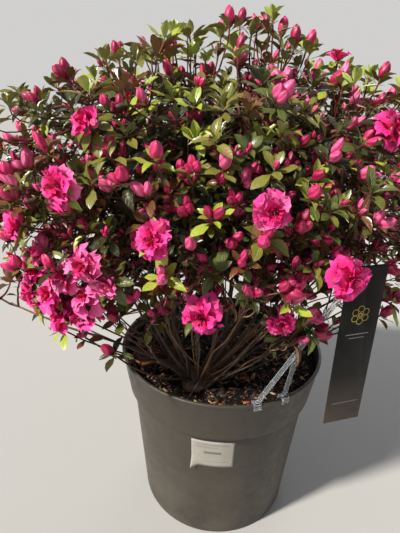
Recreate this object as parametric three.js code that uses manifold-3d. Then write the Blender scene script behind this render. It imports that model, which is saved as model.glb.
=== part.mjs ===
// A flowering evergreen azalea in its large nursery pot: a pot with a deep collar, the compost in it,
// a woody stool that sends up many stems, and a broad crown of leafy, budding twigs. A care label is
// stuck to the pot, and a swing tag hangs from a clear holder clipped over the rim.
// Millimetres, +Z up. The origin is the middle of the pot's underside, and -Y is the side that faces out.
import * as THREE from "three";
import { mergeVertices } from "three/addons/utils/BufferGeometryUtils.js";
import Module from "manifold-3d";

const wasm = await Module();
wasm.setup();

const { PI, cos, sin, hypot, max, min, abs, atan2 } = Math;
const V = (x, y, z) => new THREE.Vector3(x, y, z);
const radians = (degrees) => (degrees * PI) / 180;
const UP = V(0, 0, 1);

// Driving sizes
const FIT = 0.35; // clearance between pieces that touch
const POT = { height: 430, lip: 240, collar: 237, collarFoot: 224, collarDrop: 101, body: 214, foot: 188 };
const WALL = 4;
const SOIL_TOP = POT.height - 25;
const COLLAR_Z = POT.height - POT.collarDrop;
const ROUND = 36; // sides of the pot and the compost

const CROWN = { x: -15, y: 10, z: 800, side: 440, front: 325, back: 375, up: 215, down: 230, fullness: 3 };
const SKIRT_Z = 590; // no leaf grows lower
const LEADS = [
  { toward: V(75, -10, 310), rise: 100, spread: radians(19) }, // the tallest shoots
  { toward: V(-190, -10, 215), rise: 55, spread: radians(14) },
];

const STOOL = { flare: 40, waist: 21, neck: 17, height: 34, link: 13 };
const STOOLS = {
  front: V(-58, -135, SOIL_TOP),
  left: V(-112, -62, SOIL_TOP),
  back: V(6, -48, SOIL_TOP),
};

const BOUGH = { base: 5.2, tip: 3.1, apart: radians(38) };
const HABIT = { reach: 0.64, overshoot: 0.12, knee: { out: 0.34, up: 0.4 } };
const STEM = { base: 3.0, tip: 1.9 };
const TWIG = { base: 2.3, tip: 1.7, steps: 2 };
const LEAF = { length: 62, width: 27, thick: 3, count: 5 };
const HUB = { radius: 5, sunk: 7 }; // where a shoot's leaves meet
const BUD = { length: 30, radius: 7.5, belly: 11 };
const BLOOM = { radius: 31, notch: 17, depth: 24, throat: 13, neck: 4 };
const TIPS = 112; // places spread evenly over the whole crown's surface, the underside's being left out
const CELL_GAP = 0.6; // each mass keeps this far inside its own space

// Where the open blooms of the front face are: degrees round from +X and degrees up, seen from the crown's middle
const BLOOM_PLACES = [
  [-142, -4], [-110, -2], [-128, 8], [-135, 12], [-143, -19], [-136, -28], [-127, -30], [-124, -9],
  [-116, -14], [-97, -26], [-72, -28], [-54, 16], [-81, 10], [-121, 18], [-65, -11], [-58, -16],
];
const OTHER_BLOOMS = 9; // away from those places every ninth tip is in bloom

// A repeatable stream of numbers from 0 to 1
function seeded(seed) {
  let state = Math.imul(seed + 1, 2654435761) >>> 0;
  const next = () => {
    state = (Math.imul(state, 1664525) + 1013904223) >>> 0;
    return state / 4294967296;
  };
  next();
  next();
  return next;
}

const turned = (degrees, degreesUp) => {
  const [a, e] = [radians(degrees), radians(degreesUp)];
  return V(cos(a) * cos(e), sin(a) * cos(e), sin(e));
};
const mixed = (a, b, t) => a.clone().lerp(b, t);
const bezier = (a, b, c) => new THREE.QuadraticBezierCurve3(a, b, c);

// Solids

function solidFrom(geometry) {
  const bare = geometry.clone();
  for (const name of Object.keys(bare.attributes)) if (name !== "position") bare.deleteAttribute(name);
  const merged = mergeVertices(bare, 1e-3);
  const ids = merged.index.array;
  const faces = [];
  for (let i = 0; i < ids.length; i += 3) {
    const [a, b, c] = [ids[i], ids[i + 1], ids[i + 2]];
    if (a !== b && b !== c && a !== c) faces.push(a, b, c);
  }
  return new wasm.Manifold(
    new wasm.Mesh({
      numProp: 3,
      vertProperties: new Float32Array(merged.attributes.position.array),
      triVerts: new Uint32Array(faces),
    }),
  );
}

function geometryFrom(solid) {
  const { vertProperties, triVerts } = solid.getMesh();
  const geometry = new THREE.BufferGeometry();
  geometry.setAttribute("position", new THREE.BufferAttribute(new Float32Array(vertProperties), 3));
  geometry.setIndex(new THREE.BufferAttribute(new Uint32Array(triVerts), 1));
  return geometry;
}

const joined = (solids) => solids.reduce((whole, solid) => whole.add(solid));

// The largest closed body of a solid: loose scraps are dropped
const largest = (solid) => solid.decompose().reduce((a, b) => (b.volume() > a.volume() ? b : a));

// A limb: a closed cylinder whose rings are moved along a curve and shrunk from base to tip
function limb(curve, base, tip, sides, steps) {
  const geometry = new THREE.CylinderGeometry(1, 1, 1, sides, steps);
  const { normals, binormals } = curve.computeFrenetFrames(steps, false);
  const at = geometry.attributes.position;
  for (let i = 0; i < at.count; i++) {
    const ring = Math.round((at.getY(i) + 0.5) * steps);
    const radius = base + (tip - base) * (ring / steps);
    const point = curve
      .getPoint(ring / steps)
      .addScaledVector(normals[ring], at.getX(i) * radius)
      .addScaledVector(binormals[ring], -at.getZ(i) * radius);
    at.setXYZ(i, point.x, point.y, point.z);
  }
  const solid = solidFrom(geometry);
  return solid.volume() > 0 ? solid : solidFrom(flipped(geometry));
}

function flipped(geometry) {
  const plain = geometry.toNonIndexed();
  const at = plain.attributes.position;
  for (let i = 0; i < at.count; i += 3) {
    const [b, c] = [i + 1, i + 2].map((k) => V().fromBufferAttribute(at, k));
    at.setXYZ(i + 1, c.x, c.y, c.z);
    at.setXYZ(i + 2, b.x, b.y, b.z);
  }
  return plain;
}

const lathe = (profile, sides) =>
  new THREE.LatheGeometry(profile.map(([r, z]) => new THREE.Vector2(r, z)), sides).rotateX(PI / 2);

// A basis whose z is the given direction, turned by angle about it
function basisAlong(z, angle) {
  const side = V().crossVectors(abs(z.z) > 0.9 ? V(1, 0, 0) : UP, z).normalize();
  const x = side.clone().applyAxisAngle(z, angle);
  return new THREE.Matrix4().makeBasis(x, V().crossVectors(z, x), z);
}

const placed = (geometry, basis, point) => geometry.clone().applyMatrix4(basis).translate(point.x, point.y, point.z);

// The pot, its compost and what is fixed to it

function potProfile() {
  const { height, lip, collar, collarFoot, body, foot } = POT;
  const outer = [
    [0, 0], [foot - 5, 0], [foot, 6], [body, COLLAR_Z - 3], [collarFoot, COLLAR_Z],
    [collar, height - 8], [lip, height - 5], [lip, height - 1.5], [lip - 2.5, height],
  ];
  const inner = [
    [collar - WALL, height - 1.5], [collarFoot - WALL, COLLAR_Z + 3], [body - WALL, COLLAR_Z - 4],
    [foot - WALL, 7], [foot - WALL - 4, WALL + 1], [0, WALL + 1],
  ];
  return [...outer, ...inner];
}

const makePot = () => solidFrom(lathe(potProfile(), ROUND));

function makeSoil() {
  const { collar, collarFoot, body, foot, height } = POT;
  const share = (SOIL_TOP - COLLAR_Z) / (height - COLLAR_Z);
  const side = collarFoot + (collar - collarFoot) * share - WALL - 1.2;
  const profile = [
    [0, WALL + 1 + FIT], [foot - WALL - 5, WALL + 1 + FIT], [foot - WALL - 1.2, 9],
    [body - WALL - 1.2, COLLAR_Z - 4], [collarFoot - WALL - 1.2, COLLAR_Z + 4], [side, SOIL_TOP], [0, SOIL_TOP],
  ];
  return solidFrom(lathe(profile, ROUND));
}

// Radius of the pot's outer face below the collar
const bodyRadius = (z) => POT.foot + ((POT.body - POT.foot) * (z - 6)) / (COLLAR_Z - 9);

// The sticker lies flat on the pot's facets. Its width is an angle round the pot: 25 degrees is about 92 mm.
const LABEL = { round: radians(25), height: 76, thick: 0.8, top: COLLAR_Z - 16, bearing: radians(-95), steps: 10 };

function makeLabel() {
  const geometry = new THREE.BoxGeometry(LABEL.round, LABEL.thick, LABEL.height, LABEL.steps, 1, 1);
  const facet = (2 * PI) / ROUND;
  const at = geometry.attributes.position;
  for (let i = 0; i < at.count; i++) {
    const z = LABEL.top - LABEL.height / 2 + at.getZ(i);
    const angle = LABEL.bearing + at.getX(i);
    const offMiddle = ((angle + PI / 2 + 4 * PI) % facet) - facet / 2;
    const flat = (bodyRadius(z) * cos(facet / 2)) / cos(offMiddle);
    const radius = flat + FIT + LABEL.thick / 2 - at.getY(i);
    at.setXYZ(i, radius * cos(angle), radius * sin(angle), z);
  }
  return solidFrom(geometry);
}

const TAG = { width: 74, length: 312, thick: 1.2, hole: 5, holeDrop: 14, corner: 7 };
const TAG_HANG = V(209, -262, 725); // the middle of the tag's hole
const TAG_LEAN = radians(1);
const TAG_TURN = radians(16);
const HOLDER = { width: 9, thick: 3, hook: 2.2 };
const CLIPS = [radians(-75), radians(-60)]; // bearings of the two clips on the rim

function makeTag() {
  const { width, length, corner, hole, holeDrop, thick } = TAG;
  const shape = new THREE.Shape();
  shape.moveTo(-width / 2, holeDrop - length);
  shape.lineTo(width / 2, holeDrop - length);
  shape.lineTo(width / 2, holeDrop - corner);
  shape.lineTo(width / 2 - corner, holeDrop);
  shape.lineTo(corner - width / 2, holeDrop);
  shape.lineTo(-width / 2, holeDrop - corner);
  shape.closePath();
  shape.holes.push(new THREE.Path().absarc(0, 0, hole, 0, 2 * PI, true));
  const card = new THREE.ExtrudeGeometry(shape, { depth: thick, bevelEnabled: false, curveSegments: 6 });
  card.translate(0, 0, -thick / 2).rotateX(PI / 2).rotateY(-TAG_LEAN).rotateZ(TAG_TURN);
  return solidFrom(card.translate(...TAG_HANG));
}

function bar(from, to, width, thick, flat) {
  const along = V().subVectors(to, from);
  const geometry = new THREE.BoxGeometry(width, thick, along.length());
  const z = along.clone().normalize();
  const y = flat.clone().addScaledVector(z, -flat.dot(z)).normalize();
  const basis = new THREE.Matrix4().makeBasis(V().crossVectors(y, z), y, z);
  return solidFrom(placed(geometry, basis, mixed(from, to, 0.5)));
}

function makeHolder() {
  const { width, thick, hook } = HOLDER;
  const outward = V(0, -1, 0.3).normalize();
  const rimAt = (bearing, radius, z) => V(radius * cos(bearing), radius * sin(bearing), z);
  const clipTop = POT.height + FIT + thick / 2;
  const pieces = CLIPS.flatMap((bearing) => {
    const radial = rimAt(bearing, 1, 0);
    const out = POT.lip + FIT + thick / 2;
    const inside = POT.collar - WALL - 3.4 - thick / 2;
    return [
      bar(rimAt(bearing, out, POT.height - 12), rimAt(bearing, out, clipTop + thick / 2), 16, thick, radial),
      bar(rimAt(bearing, inside - thick / 2, clipTop), rimAt(bearing, out + thick / 2, clipTop), 16, thick, UP),
      bar(rimAt(bearing, inside, POT.height - 16), rimAt(bearing, inside, clipTop + thick / 2), 16, thick, radial),
    ];
  });
  const [near, far] = CLIPS.map((bearing) => rimAt(bearing, POT.lip - 4, clipTop));
  const head = V(TAG_HANG.x, TAG_HANG.y + 12, TAG_HANG.z + 12);
  const join = mixed(near, head, 0.43);
  pieces.push(bar(near, head, width, thick, outward), bar(far, join, width, thick, outward));
  const nose = V(TAG_HANG.x, TAG_HANG.y - 7, TAG_HANG.z + TAG.hole - hook - 1);
  const heel = V(nose.x, head.y, nose.z);
  pieces.push(bar(V(heel.x, heel.y, heel.z - hook), head, width, thick, V(0, -1, 0)));
  pieces.push(bar(heel, nose, hook * 2, hook * 2, UP));
  return joined(pieces);
}

// The woody stool: stumps with a root flare, joined along the ground and cut flat at the compost

function makeStool(grown) {
  const { flare, waist, neck, height, link } = STOOL;
  const profile = [
    [0, -8], [flare + grown, -8], [flare - 6 + grown, 3], [waist + grown, 15],
    [neck + 1 + grown, height - 8], [neck - 4 + grown, height + grown], [0, height + grown],
  ];
  const stumps = Object.values(STOOLS).map((foot, k) => {
    const geometry = lathe(profile, 9);
    const at = geometry.attributes.position;
    for (let i = 0; i < at.count; i++) {
      const swell = 1 + 0.13 * cos(3 * atan2(at.getY(i), at.getX(i)) + k);
      at.setXYZ(i, at.getX(i) * swell, at.getY(i) * swell, at.getZ(i));
    }
    return solidFrom(geometry.translate(foot.x, foot.y, foot.z));
  });
  const low = (foot) => foot.clone().setZ(SOIL_TOP + 4);
  const ties = [STOOLS.left, STOOLS.back].map((foot, k) => {
    const middle = mixed(low(STOOLS.front), low(foot), 0.5).add(V(k ? 8 : -8, 0, 3));
    return limb(bezier(low(STOOLS.front), middle, low(foot)), link + 3 + grown, link + grown, 8, 4);
  });
  const below = new THREE.BoxGeometry(600, 600, 200).translate(0, 0, SOIL_TOP + FIT - grown - 100);
  return joined([...stumps, ...ties]).subtract(solidFrom(below));
}

// The crown's outline, as a distance from its middle

const CROWN_MIDDLE = V(CROWN.x, CROWN.y, CROWN.z);

function crownReach(toward) {
  const { side, front, back, up, down, fullness } = CROWN;
  const sum =
    abs(toward.x / side) ** fullness +
    abs(toward.y / (toward.y < 0 ? front : back)) ** fullness +
    abs(toward.z / (toward.z < 0 ? down : up)) ** fullness;
  const lift = LEADS.reduce((total, lead) => {
    const off = toward.angleTo(lead.toward) / lead.spread;
    return total + lead.rise * Math.exp(-off * off);
  }, 0);
  return sum ** (-1 / fullness) + lift;
}

// The masses of foliage: two rings and a crest. Each is fed by one bough from one stump of the stool.

const RINGS = [
  {
    tier: "low", reach: 0.66, rise: -70, start: -90,
    sides: ["front", "front_right", "right", "back_right", "back", "back_left", "left", "front_left"],
    stools: ["front", "front", "front", "back", "back", "left", "left", "front"],
  },
  {
    tier: "high", reach: 0.46, rise: 95, start: -90,
    sides: ["front", "right_front", "right_back", "back", "left_back", "left_front"],
    stools: ["front", "front", "back", "back", "left", "front"],
  },
  { tier: "crest", reach: 0.17, rise: 185, start: 0, sides: ["right", "left"], stools: ["back", "left"] },
];

// One long low branch reaches out past the rim to the left, with a few shoots at its end
const SIDE_BRANCH = {
  name: "side_left", stool: "front", middle: V(-428, -150, 592), knee: { out: 0.5, up: 0.22 }, reach: 0.6,
  overshoot: 0, shoots: [[172, 26], [-128, 14], [112, 30], [-10, 62]], spread: 54,
};

function layOutMasses() {
  const rings = RINGS.flatMap(({ tier, reach, rise, start, sides, stools }) =>
    sides.map((side, k) => {
      const angle = radians(start + (360 * k) / sides.length);
      const deep = sin(angle) < 0 ? CROWN.front : CROWN.back;
      const middle = V(CROWN.side * reach * cos(angle), deep * reach * sin(angle), rise).add(CROWN_MIDDLE);
      return { name: `${tier}_${side}`, stool: stools[k], middle, ...HABIT };
    }),
  );
  return [...rings, SIDE_BRANCH].map((mass) => ({ ...mass, tips: [] }));
}

// Spreads the boughs of one stump round it, each near its own bearing and none too close to the next
function startBearings(foot, masses) {
  const rows = masses
    .map((mass) => ({ mass, bearing: atan2(mass.middle.y - foot.y, mass.middle.x - foot.x) }))
    .sort((a, b) => a.bearing - b.bearing);
  const apart = min(BOUGH.apart, (2 * PI) / rows.length);
  for (let round = 0; round < 60; round++)
    rows.forEach((row, k) => {
      const next = rows[(k + 1) % rows.length];
      const wrap = k + 1 === rows.length ? 2 * PI : 0;
      const short = apart - (next.bearing + wrap - row.bearing);
      if (short > 0) {
        row.bearing -= short / 2;
        next.bearing += short / 2;
      }
    });
  return rows;
}

function growBoughs(masses) {
  for (const [name, foot] of Object.entries(STOOLS)) {
    const mine = masses.filter((mass) => mass.stool === name);
    const steep = (mass) => (mass.middle.z - foot.z) / hypot(mass.middle.x - foot.x, mass.middle.y - foot.y);
    const leader = mine.reduce((a, b) => (steep(b) > steep(a) ? b : a));
    const start = foot.clone().add(V(0, 0, STOOL.height - 8));
    const lead = mixed(start, leader.middle, leader.reach);
    leader.bough = bezier(start, V(start.x, start.y, start.z + start.distanceTo(lead) * 0.45), lead);
    for (const { mass, bearing } of startBearings(foot, mine.filter((m) => m !== leader))) {
      const out = V(cos(bearing), sin(bearing), 0);
      const base = foot.clone().addScaledVector(out, STOOL.neck - 6).add(V(0, 0, STOOL.height * 0.5));
      const tip = mixed(base, mass.middle, mass.reach);
      const length = base.distanceTo(tip);
      const knee = base.clone().addScaledVector(out, length * mass.knee.out).add(V(0, 0, length * mass.knee.up));
      mass.bough = bezier(base, knee, tip);
    }
  }
}

// Each mass keeps to the space nearer to its own middle than to any other's.
// The wall of that space nearest to a point: how deep inside it the point is, and which way is inward
function nearestWall(masses, own, point) {
  let wall = { depth: Infinity, inward: UP };
  for (const other of masses) {
    if (other === own) continue;
    const inward = V().subVectors(own.middle, other.middle).normalize();
    const depth = V().subVectors(point, mixed(own.middle, other.middle, 0.5)).dot(inward);
    if (depth < wall.depth) wall = { depth, inward };
  }
  return wall;
}

// Limbs and fittings that foliage stays clear of, as straight stretches with a radius
const stretches = (curve, radius, steps) =>
  curve.getPoints(steps).slice(1).map((to, k) => ({ from: curve.getPoint(k / steps), to, radius }));

function clearance(point, { from, to, radius }) {
  const along = V().subVectors(to, from);
  const share = max(0, min(1, V().subVectors(point, from).dot(along) / along.lengthSq()));
  return point.distanceTo(mixed(from, to, share)) - radius;
}

const isClear = (point, radius, obstacles) => obstacles.every((o) => clearance(point, o) > radius + 1);

// The stem that carries a mass on from its bough's tip
function growStem(mass) {
  const tip = mass.bough.getPoint(1);
  const way = mass.bough.getTangent(1);
  const start = tip.clone().addScaledVector(way, FIT);
  const end = mixed(mass.middle, CROWN_MIDDLE, -mass.overshoot);
  const knee = start.clone().addScaledVector(way, start.distanceTo(end) * 0.5);
  mass.stem = bezier(start, knee, end);
}

// The places where twigs end: the blooms of the front face, then an even spread over the crown's surface
function tipPlaces() {
  const places = BLOOM_PLACES.map(([round, up]) => ({ toward: turned(round, up), depth: 1, bloom: true }));
  const golden = PI * (3 - Math.sqrt(5));
  for (let k = 0; k < TIPS; k++) {
    const random = seeded(k);
    const z = 1 - (2 * k + 1) / TIPS;
    const across = Math.sqrt(1 - z * z);
    const toward = V(across * cos(golden * k), across * sin(golden * k), z);
    const depth = 0.84 + 0.14 * random();
    places.push({ toward, depth, bloom: k % OTHER_BLOOMS === 4 });
  }
  const kept = [];
  for (const place of places) {
    place.point = CROWN_MIDDLE.clone().addScaledVector(place.toward, crownReach(place.toward) * place.depth);
    const lonely = kept.every((other) => other.point.distanceTo(place.point) > 62);
    if (place.point.z > SKIRT_Z && lonely) kept.push(place);
  }
  return kept;
}

// Slides a place along the crown until its bud or bloom has room inside its mass's space
function settle(masses, mass, place) {
  const ahead = place.bloom ? BLOOM.depth : BUD.belly;
  const needed = place.bloom ? BLOOM.radius + 6 : 14;
  for (let k = 0; k < 6; k++) {
    const head = place.point.clone().addScaledVector(place.toward, ahead);
    const { depth, inward } = nearestWall(masses, mass, head);
    if (depth < needed) place.point.addScaledVector(inward, needed - depth);
  }
}

function shareTips(masses) {
  const nearest = (point) =>
    masses.reduce((a, b) => (b.middle.distanceTo(point) < a.middle.distanceTo(point) ? b : a));
  const side = masses.find((mass) => mass.shoots);
  side.tips = side.shoots.map(([round, up]) => {
    const toward = turned(round, up);
    return { toward, bloom: false, point: side.middle.clone().addScaledVector(toward, side.spread) };
  });
  for (const place of tipPlaces()) {
    const mass = nearest(place.point);
    settle(masses, mass, place);
    mass.tips.push(place);
  }
}

// A twig to one tip, from the nearest place on the mass's stem or halfway along an earlier twig, that turns
// outward and up as it goes
function growTwig(mass, twigs, tip, fits) {
  const outward = tip.toward.clone().setZ(tip.toward.z * 0.5 + 0.55).normalize();
  const starts = [0.3, 0.45, 0.6, 0.75, 0.9].map((share) => mass.stem.getPoint(share));
  for (const twig of twigs) if (twig.order < 3) starts.push(twig.curve.getPoint(0.5));
  const strain = (start) => start.distanceTo(tip.point) * (1.6 - outwardness(start, tip));
  const order = starts.map((start, k) => ({ start, k, strain: strain(start) })).sort((a, b) => a.strain - b.strain);
  for (const { start, k } of order) {
    const reach = start.distanceTo(tip.point);
    if (reach < 45) continue;
    for (const bend of [0.4, 0.22, 0.05]) {
      const curve = bezier(start, tip.point.clone().addScaledVector(outward, -reach * bend), tip.point);
      if (!curve.getPoints(6).slice(1).every((point) => fits(point, TWIG.base))) continue;
      const way = V().subVectors(tip.point, curve.getPoint(1 - 1 / TWIG.steps)).normalize();
      const ahead = (distance) => tip.point.clone().addScaledVector(way, distance);
      if (!fits(ahead(BUD.belly), BUD.radius + 1) || !fits(ahead(BUD.length), 1)) continue;
      return { curve, way, order: k < 5 ? 1 : twigs[k - 5].order + 1 };
    }
  }
  return null;
}

// 1 where a straight run from start to the tip heads outward, less where it turns back or sideways
function outwardness(start, tip) {
  return V().subVectors(tip.point, start).normalize().dot(tip.toward);
}

// The corners of a leaf, seen from its root: a keeled blade, widest past its middle, with a drooping tip
function leafCorners(root, way, up, length) {
  const side = V().crossVectors(up, way).normalize();
  const top = V().crossVectors(way, side).normalize();
  const half = (LEAF.width * length) / LEAF.length / 2;
  const at = (along, across, above) =>
    root.clone().addScaledVector(way, along * length).addScaledVector(side, across).addScaledVector(top, above);
  return {
    right: at(0.58, -half, 0.03 * length),
    left: at(0.58, half, 0.03 * length),
    end: at(1, 0, -0.1 * length),
    above: at(0.5, 0, LEAF.thick / 2),
    below: at(0.5, 0, -LEAF.thick / 2),
  };
}

function leafFits(root, corners, fits) {
  const { left, right, end } = corners;
  const edges = [mixed(left, end, 0.5), mixed(right, end, 0.5)];
  const shares = [0.3, 0.65, 1];
  return [...Object.values(corners), ...edges].every((corner) =>
    shares.every((share) => fits(mixed(root, corner, share), 0.4)),
  );
}

// The rings of a twig's three corners from its foot to the hub of its rosette, lined up with the hub
function twigRings({ curve, way }, basis) {
  const hubSide = V().setFromMatrixColumn(basis, 0);
  const end = curve.getPoint(1).addScaledVector(way, -HUB.sunk);
  return Array.from({ length: TWIG.steps + 1 }, (_, ring) => {
    const share = ring / TWIG.steps;
    const middle = share < 1 ? curve.getPoint(share) : end;
    const along = share < 1 ? curve.getTangent(share) : way;
    const x = hubSide.clone().addScaledVector(along, -hubSide.dot(along)).normalize();
    const y = V().crossVectors(along, x);
    const radius = TWIG.base + (TWIG.tip - TWIG.base) * share;
    return [0, 1, 2].map((corner) => {
      const angle = (2 * PI * corner) / 3;
      return middle.clone().addScaledVector(x, radius * cos(angle)).addScaledVector(y, radius * sin(angle));
    });
  });
}

// One shoot as a closed body: a three-sided twig that ends in a hub, with leaves round it and a bud or an
// open bloom on it
function makeShoot(twig, tip, random, fits) {
  const { count } = LEAF;
  const { way } = twig;
  const basis = basisAlong(way, 2 * PI * random());
  const face = way.clone().lerp(tip.toward, 0.7).normalize();
  const tilt = new THREE.Quaternion().setFromUnitVectors(way, face);
  const corners = [];
  const faces = [];
  const add = (point) => corners.push(point) - 1;
  const spoke = (turn, radius, height) => {
    const angle = (2 * PI * turn) / count;
    return V(radius * cos(angle), radius * sin(angle), height).applyMatrix4(basis);
  };
  const spot = (turn, radius, height) => spoke(turn, radius, height).add(tip.point);
  const faced = (turn, radius, height) => spoke(turn, radius, height).applyQuaternion(tilt).add(tip.point);
  const petals = Array.from({ length: count }, (_, k) => faced(k, BLOOM.radius, BLOOM.depth));
  const open = tip.bloom && petals.every((petal) => fits(petal, 1));

  const rings = twigRings(twig, basis).map((ring) => ring.map(add));
  faces.push(...rings[0].slice().reverse());
  for (let ring = 0; ring < TWIG.steps; ring++)
    for (let k = 0; k < 3; k++) {
      const [a, b] = [rings[ring][k], rings[ring][(k + 1) % 3]];
      const [d, c] = [rings[ring + 1][k], rings[ring + 1][(k + 1) % 3]];
      faces.push(a, b, c, a, c, d);
    }

  const shoulder = open ? [BLOOM.neck, 8] : [BUD.radius, BUD.belly];
  const crown = add(open ? faced(0, 0, BLOOM.throat) : spot(0, 0, BUD.length));
  const sectors = petals.map((petal, k) => ({
    foot: rings[TWIG.steps][Math.round((3 * k) / count) % 3],
    notch: add(spot(k - 0.5, HUB.radius, 0)),
    collar: add(spot(k - 0.5, ...shoulder)),
    lobes: open ? [add(faced(k - 0.5, BLOOM.notch, BLOOM.depth * 0.8)), add(petal)] : [],
  }));
  sectors.forEach(({ foot, notch: n0, collar: c0, lobes: [m0, petal] }, k) => {
    const { foot: nextFoot, notch: n1, collar: c1, lobes: [m1] } = sectors[(k + 1) % count];
    const [size, lean, turn] = [random(), random(), random()];
    const root = spoke(k, HUB.radius * 0.6, 0).add(tip.point);
    const pitch = radians(54 + 26 * lean);
    const out = spoke(k + 0.2 * (turn - 0.5), 1, 0);
    const leafWay = way.clone().multiplyScalar(cos(pitch)).addScaledVector(out, sin(pitch)).normalize();
    const leaf = [1, 0.72, 0.5]
      .map((share) => leafCorners(root, leafWay, way, LEAF.length * (0.84 + 0.3 * size) * share))
      .find((candidate) => leafFits(root, candidate, fits));
    if (leaf) {
      const [right, left, end, above, below] = [leaf.right, leaf.left, leaf.end, leaf.above, leaf.below].map(add);
      const rim = [c0, n0, right, end, left, n1, c1];
      rim.forEach((corner, i) => faces.push(corner, rim[(i + 1) % rim.length], above));
      const under = [foot, n1, left, end, right, n0];
      under.forEach((corner, i) => faces.push(corner, under[(i + 1) % under.length], below));
    } else {
      faces.push(c0, n0, n1, c0, n1, c1, foot, n1, n0);
    }
    if (foot !== nextFoot) faces.push(foot, nextFoot, n1);
    if (open) faces.push(c0, c1, petal, c0, petal, m0, c1, m1, petal, crown, m0, petal, crown, petal, m1);
    else faces.push(crown, c0, c1);
  });
  const geometry = new THREE.BufferGeometry().setFromPoints(corners);
  geometry.setIndex(faces);
  return solidFrom(geometry);
}

function makeMass(mass, masses, obstacles) {
  const others = masses.filter((m) => m !== mass).flatMap((m) => stretches(m.stem, STEM.base, 4));
  const avoid = [...obstacles, ...others];
  const fits = (point, radius) =>
    nearestWall(masses, mass, point).depth > radius + CELL_GAP && isClear(point, radius, avoid);
  const solids = [limb(mass.stem, STEM.base, STEM.tip, 5, 4)];
  const twigs = [];
  mass.tips.sort((a, b) => a.point.distanceTo(mass.middle) - b.point.distanceTo(mass.middle));
  mass.tips.forEach((tip, k) => {
    const twig = growTwig(mass, twigs, tip, fits);
    if (!twig) return;
    twigs.push(twig);
    solids.push(makeShoot(twig, tip, seeded(1000 * masses.indexOf(mass) + k), fits));
  });
  return largest(joined(solids));
}

// The whole plant

const finish = (color, roughness, extra = {}) => new THREE.MeshStandardMaterial({ color, roughness, ...extra });
const MATERIALS = {
  pot: finish(0x6b6156, 0.62),
  soil: finish(0x2a1f18, 0.95),
  bark: finish(0x5a4334, 0.85),
  foliage: finish(0x55622a, 0.5),
  label: finish(0xe8e4dc, 0.5),
  tag: finish(0x26231f, 0.4),
  clear: finish(0xdfe6ea, 0.15, { transparent: true, opacity: 0.45 }),
};

const azalea = new THREE.Group();
function addPiece(name, solid, material) {
  const mesh = new THREE.Mesh(geometryFrom(solid), material);
  mesh.name = name;
  azalea.add(mesh);
}

const masses = layOutMasses();
growBoughs(masses);
masses.forEach(growStem);
shareTips(masses);

const stool = makeStool(0);
const stoolRoom = makeStool(FIT);
const tagFoot = V(TAG_HANG.x, TAG_HANG.y, TAG_HANG.z - TAG.length);
const fittings = [
  { from: TAG_HANG, to: tagFoot, radius: TAG.width / 2 + 12 },
  { from: V(120, -205, POT.height), to: TAG_HANG, radius: HOLDER.width },
  { from: V(62, -228, POT.height), to: TAG_HANG, radius: HOLDER.width },
];

addPiece("pot", makePot(), MATERIALS.pot);
addPiece("compost", makeSoil(), MATERIALS.soil);
addPiece("care_label", makeLabel(), MATERIALS.label);
addPiece("tag_holder", makeHolder(), MATERIALS.clear);
addPiece("swing_tag", makeTag(), MATERIALS.tag);
addPiece("stool", stool, MATERIALS.bark);
const boughStretches = masses.flatMap((mass) => stretches(mass.bough, BOUGH.base, 8));
for (const mass of masses) {
  const bough = limb(mass.bough, BOUGH.base, BOUGH.tip, 6, 5).subtract(stoolRoom);
  addPiece(`bough_${mass.name}`, largest(bough), MATERIALS.bark);
}
for (const mass of masses)
  addPiece(`foliage_${mass.name}`, makeMass(mass, masses, [...boughStretches, ...fittings]), MATERIALS.foliage);

export default azalea;
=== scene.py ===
"""Looks of a flowering evergreen azalea in its nursery pot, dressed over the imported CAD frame.

The plant is grown again by the rule of the part's source, in millimetres, and carried on to finer
twigs, leaves, buds and blooms. Meshes are in metres, +Z up, with -Y the side that faces out.
"""

import sys

import logging
from contextlib import contextmanager
from dataclasses import dataclass, field, replace
from enum import Enum
from math import atan2, cos, exp, hypot, inf, pi, radians, sin, sqrt, tau
from typing import Callable, Iterable, Iterator, Sequence

import bmesh
import bpy
import numpy as np
from mathutils import Euler, Matrix, Vector


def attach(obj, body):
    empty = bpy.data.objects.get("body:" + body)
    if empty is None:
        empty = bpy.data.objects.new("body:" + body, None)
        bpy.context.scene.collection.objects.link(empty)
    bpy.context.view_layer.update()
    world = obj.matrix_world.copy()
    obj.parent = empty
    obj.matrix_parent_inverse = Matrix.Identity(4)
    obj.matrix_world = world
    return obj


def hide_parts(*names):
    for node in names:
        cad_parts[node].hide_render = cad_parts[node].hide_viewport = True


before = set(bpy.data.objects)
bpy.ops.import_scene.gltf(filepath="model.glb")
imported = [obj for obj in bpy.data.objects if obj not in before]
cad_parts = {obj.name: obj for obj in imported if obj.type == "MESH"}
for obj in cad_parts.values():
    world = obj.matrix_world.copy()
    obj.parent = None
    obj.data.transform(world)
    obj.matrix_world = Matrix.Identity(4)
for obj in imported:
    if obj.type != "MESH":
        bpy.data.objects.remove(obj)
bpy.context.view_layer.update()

LOG = logging.getLogger("azalea")
MM = 0.001
GOLDEN = pi * (3 - sqrt(5))
UP = np.array([0.0, 0.0, 1.0])

Vec = np.ndarray
Point = tuple[float, float, float]
Points = tuple[Point, ...]
Pairs = tuple[tuple[float, float], ...]
Object = bpy.types.Object


# Small sums


def vec(x: float, y: float, z: float) -> Vec:
    """A point or direction."""
    return np.array([x, y, z], float)


def unit(v: Vec) -> Vec:
    """The direction of a vector, or of each row of an array of them."""
    return v / np.maximum(np.linalg.norm(v, axis=-1, keepdims=True), 1e-9)


def around(angle: float, radius: float = 1.0, z: float = 0.0) -> Vec:
    """The point at an angle, a radius and a height round Z."""
    return vec(radius * cos(angle), radius * sin(angle), z)


def turned(round_deg: float, up_deg: float) -> Vec:
    """A direction given as degrees round from +X and degrees up."""
    return around(radians(round_deg), cos(radians(up_deg)), sin(radians(up_deg)))


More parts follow.
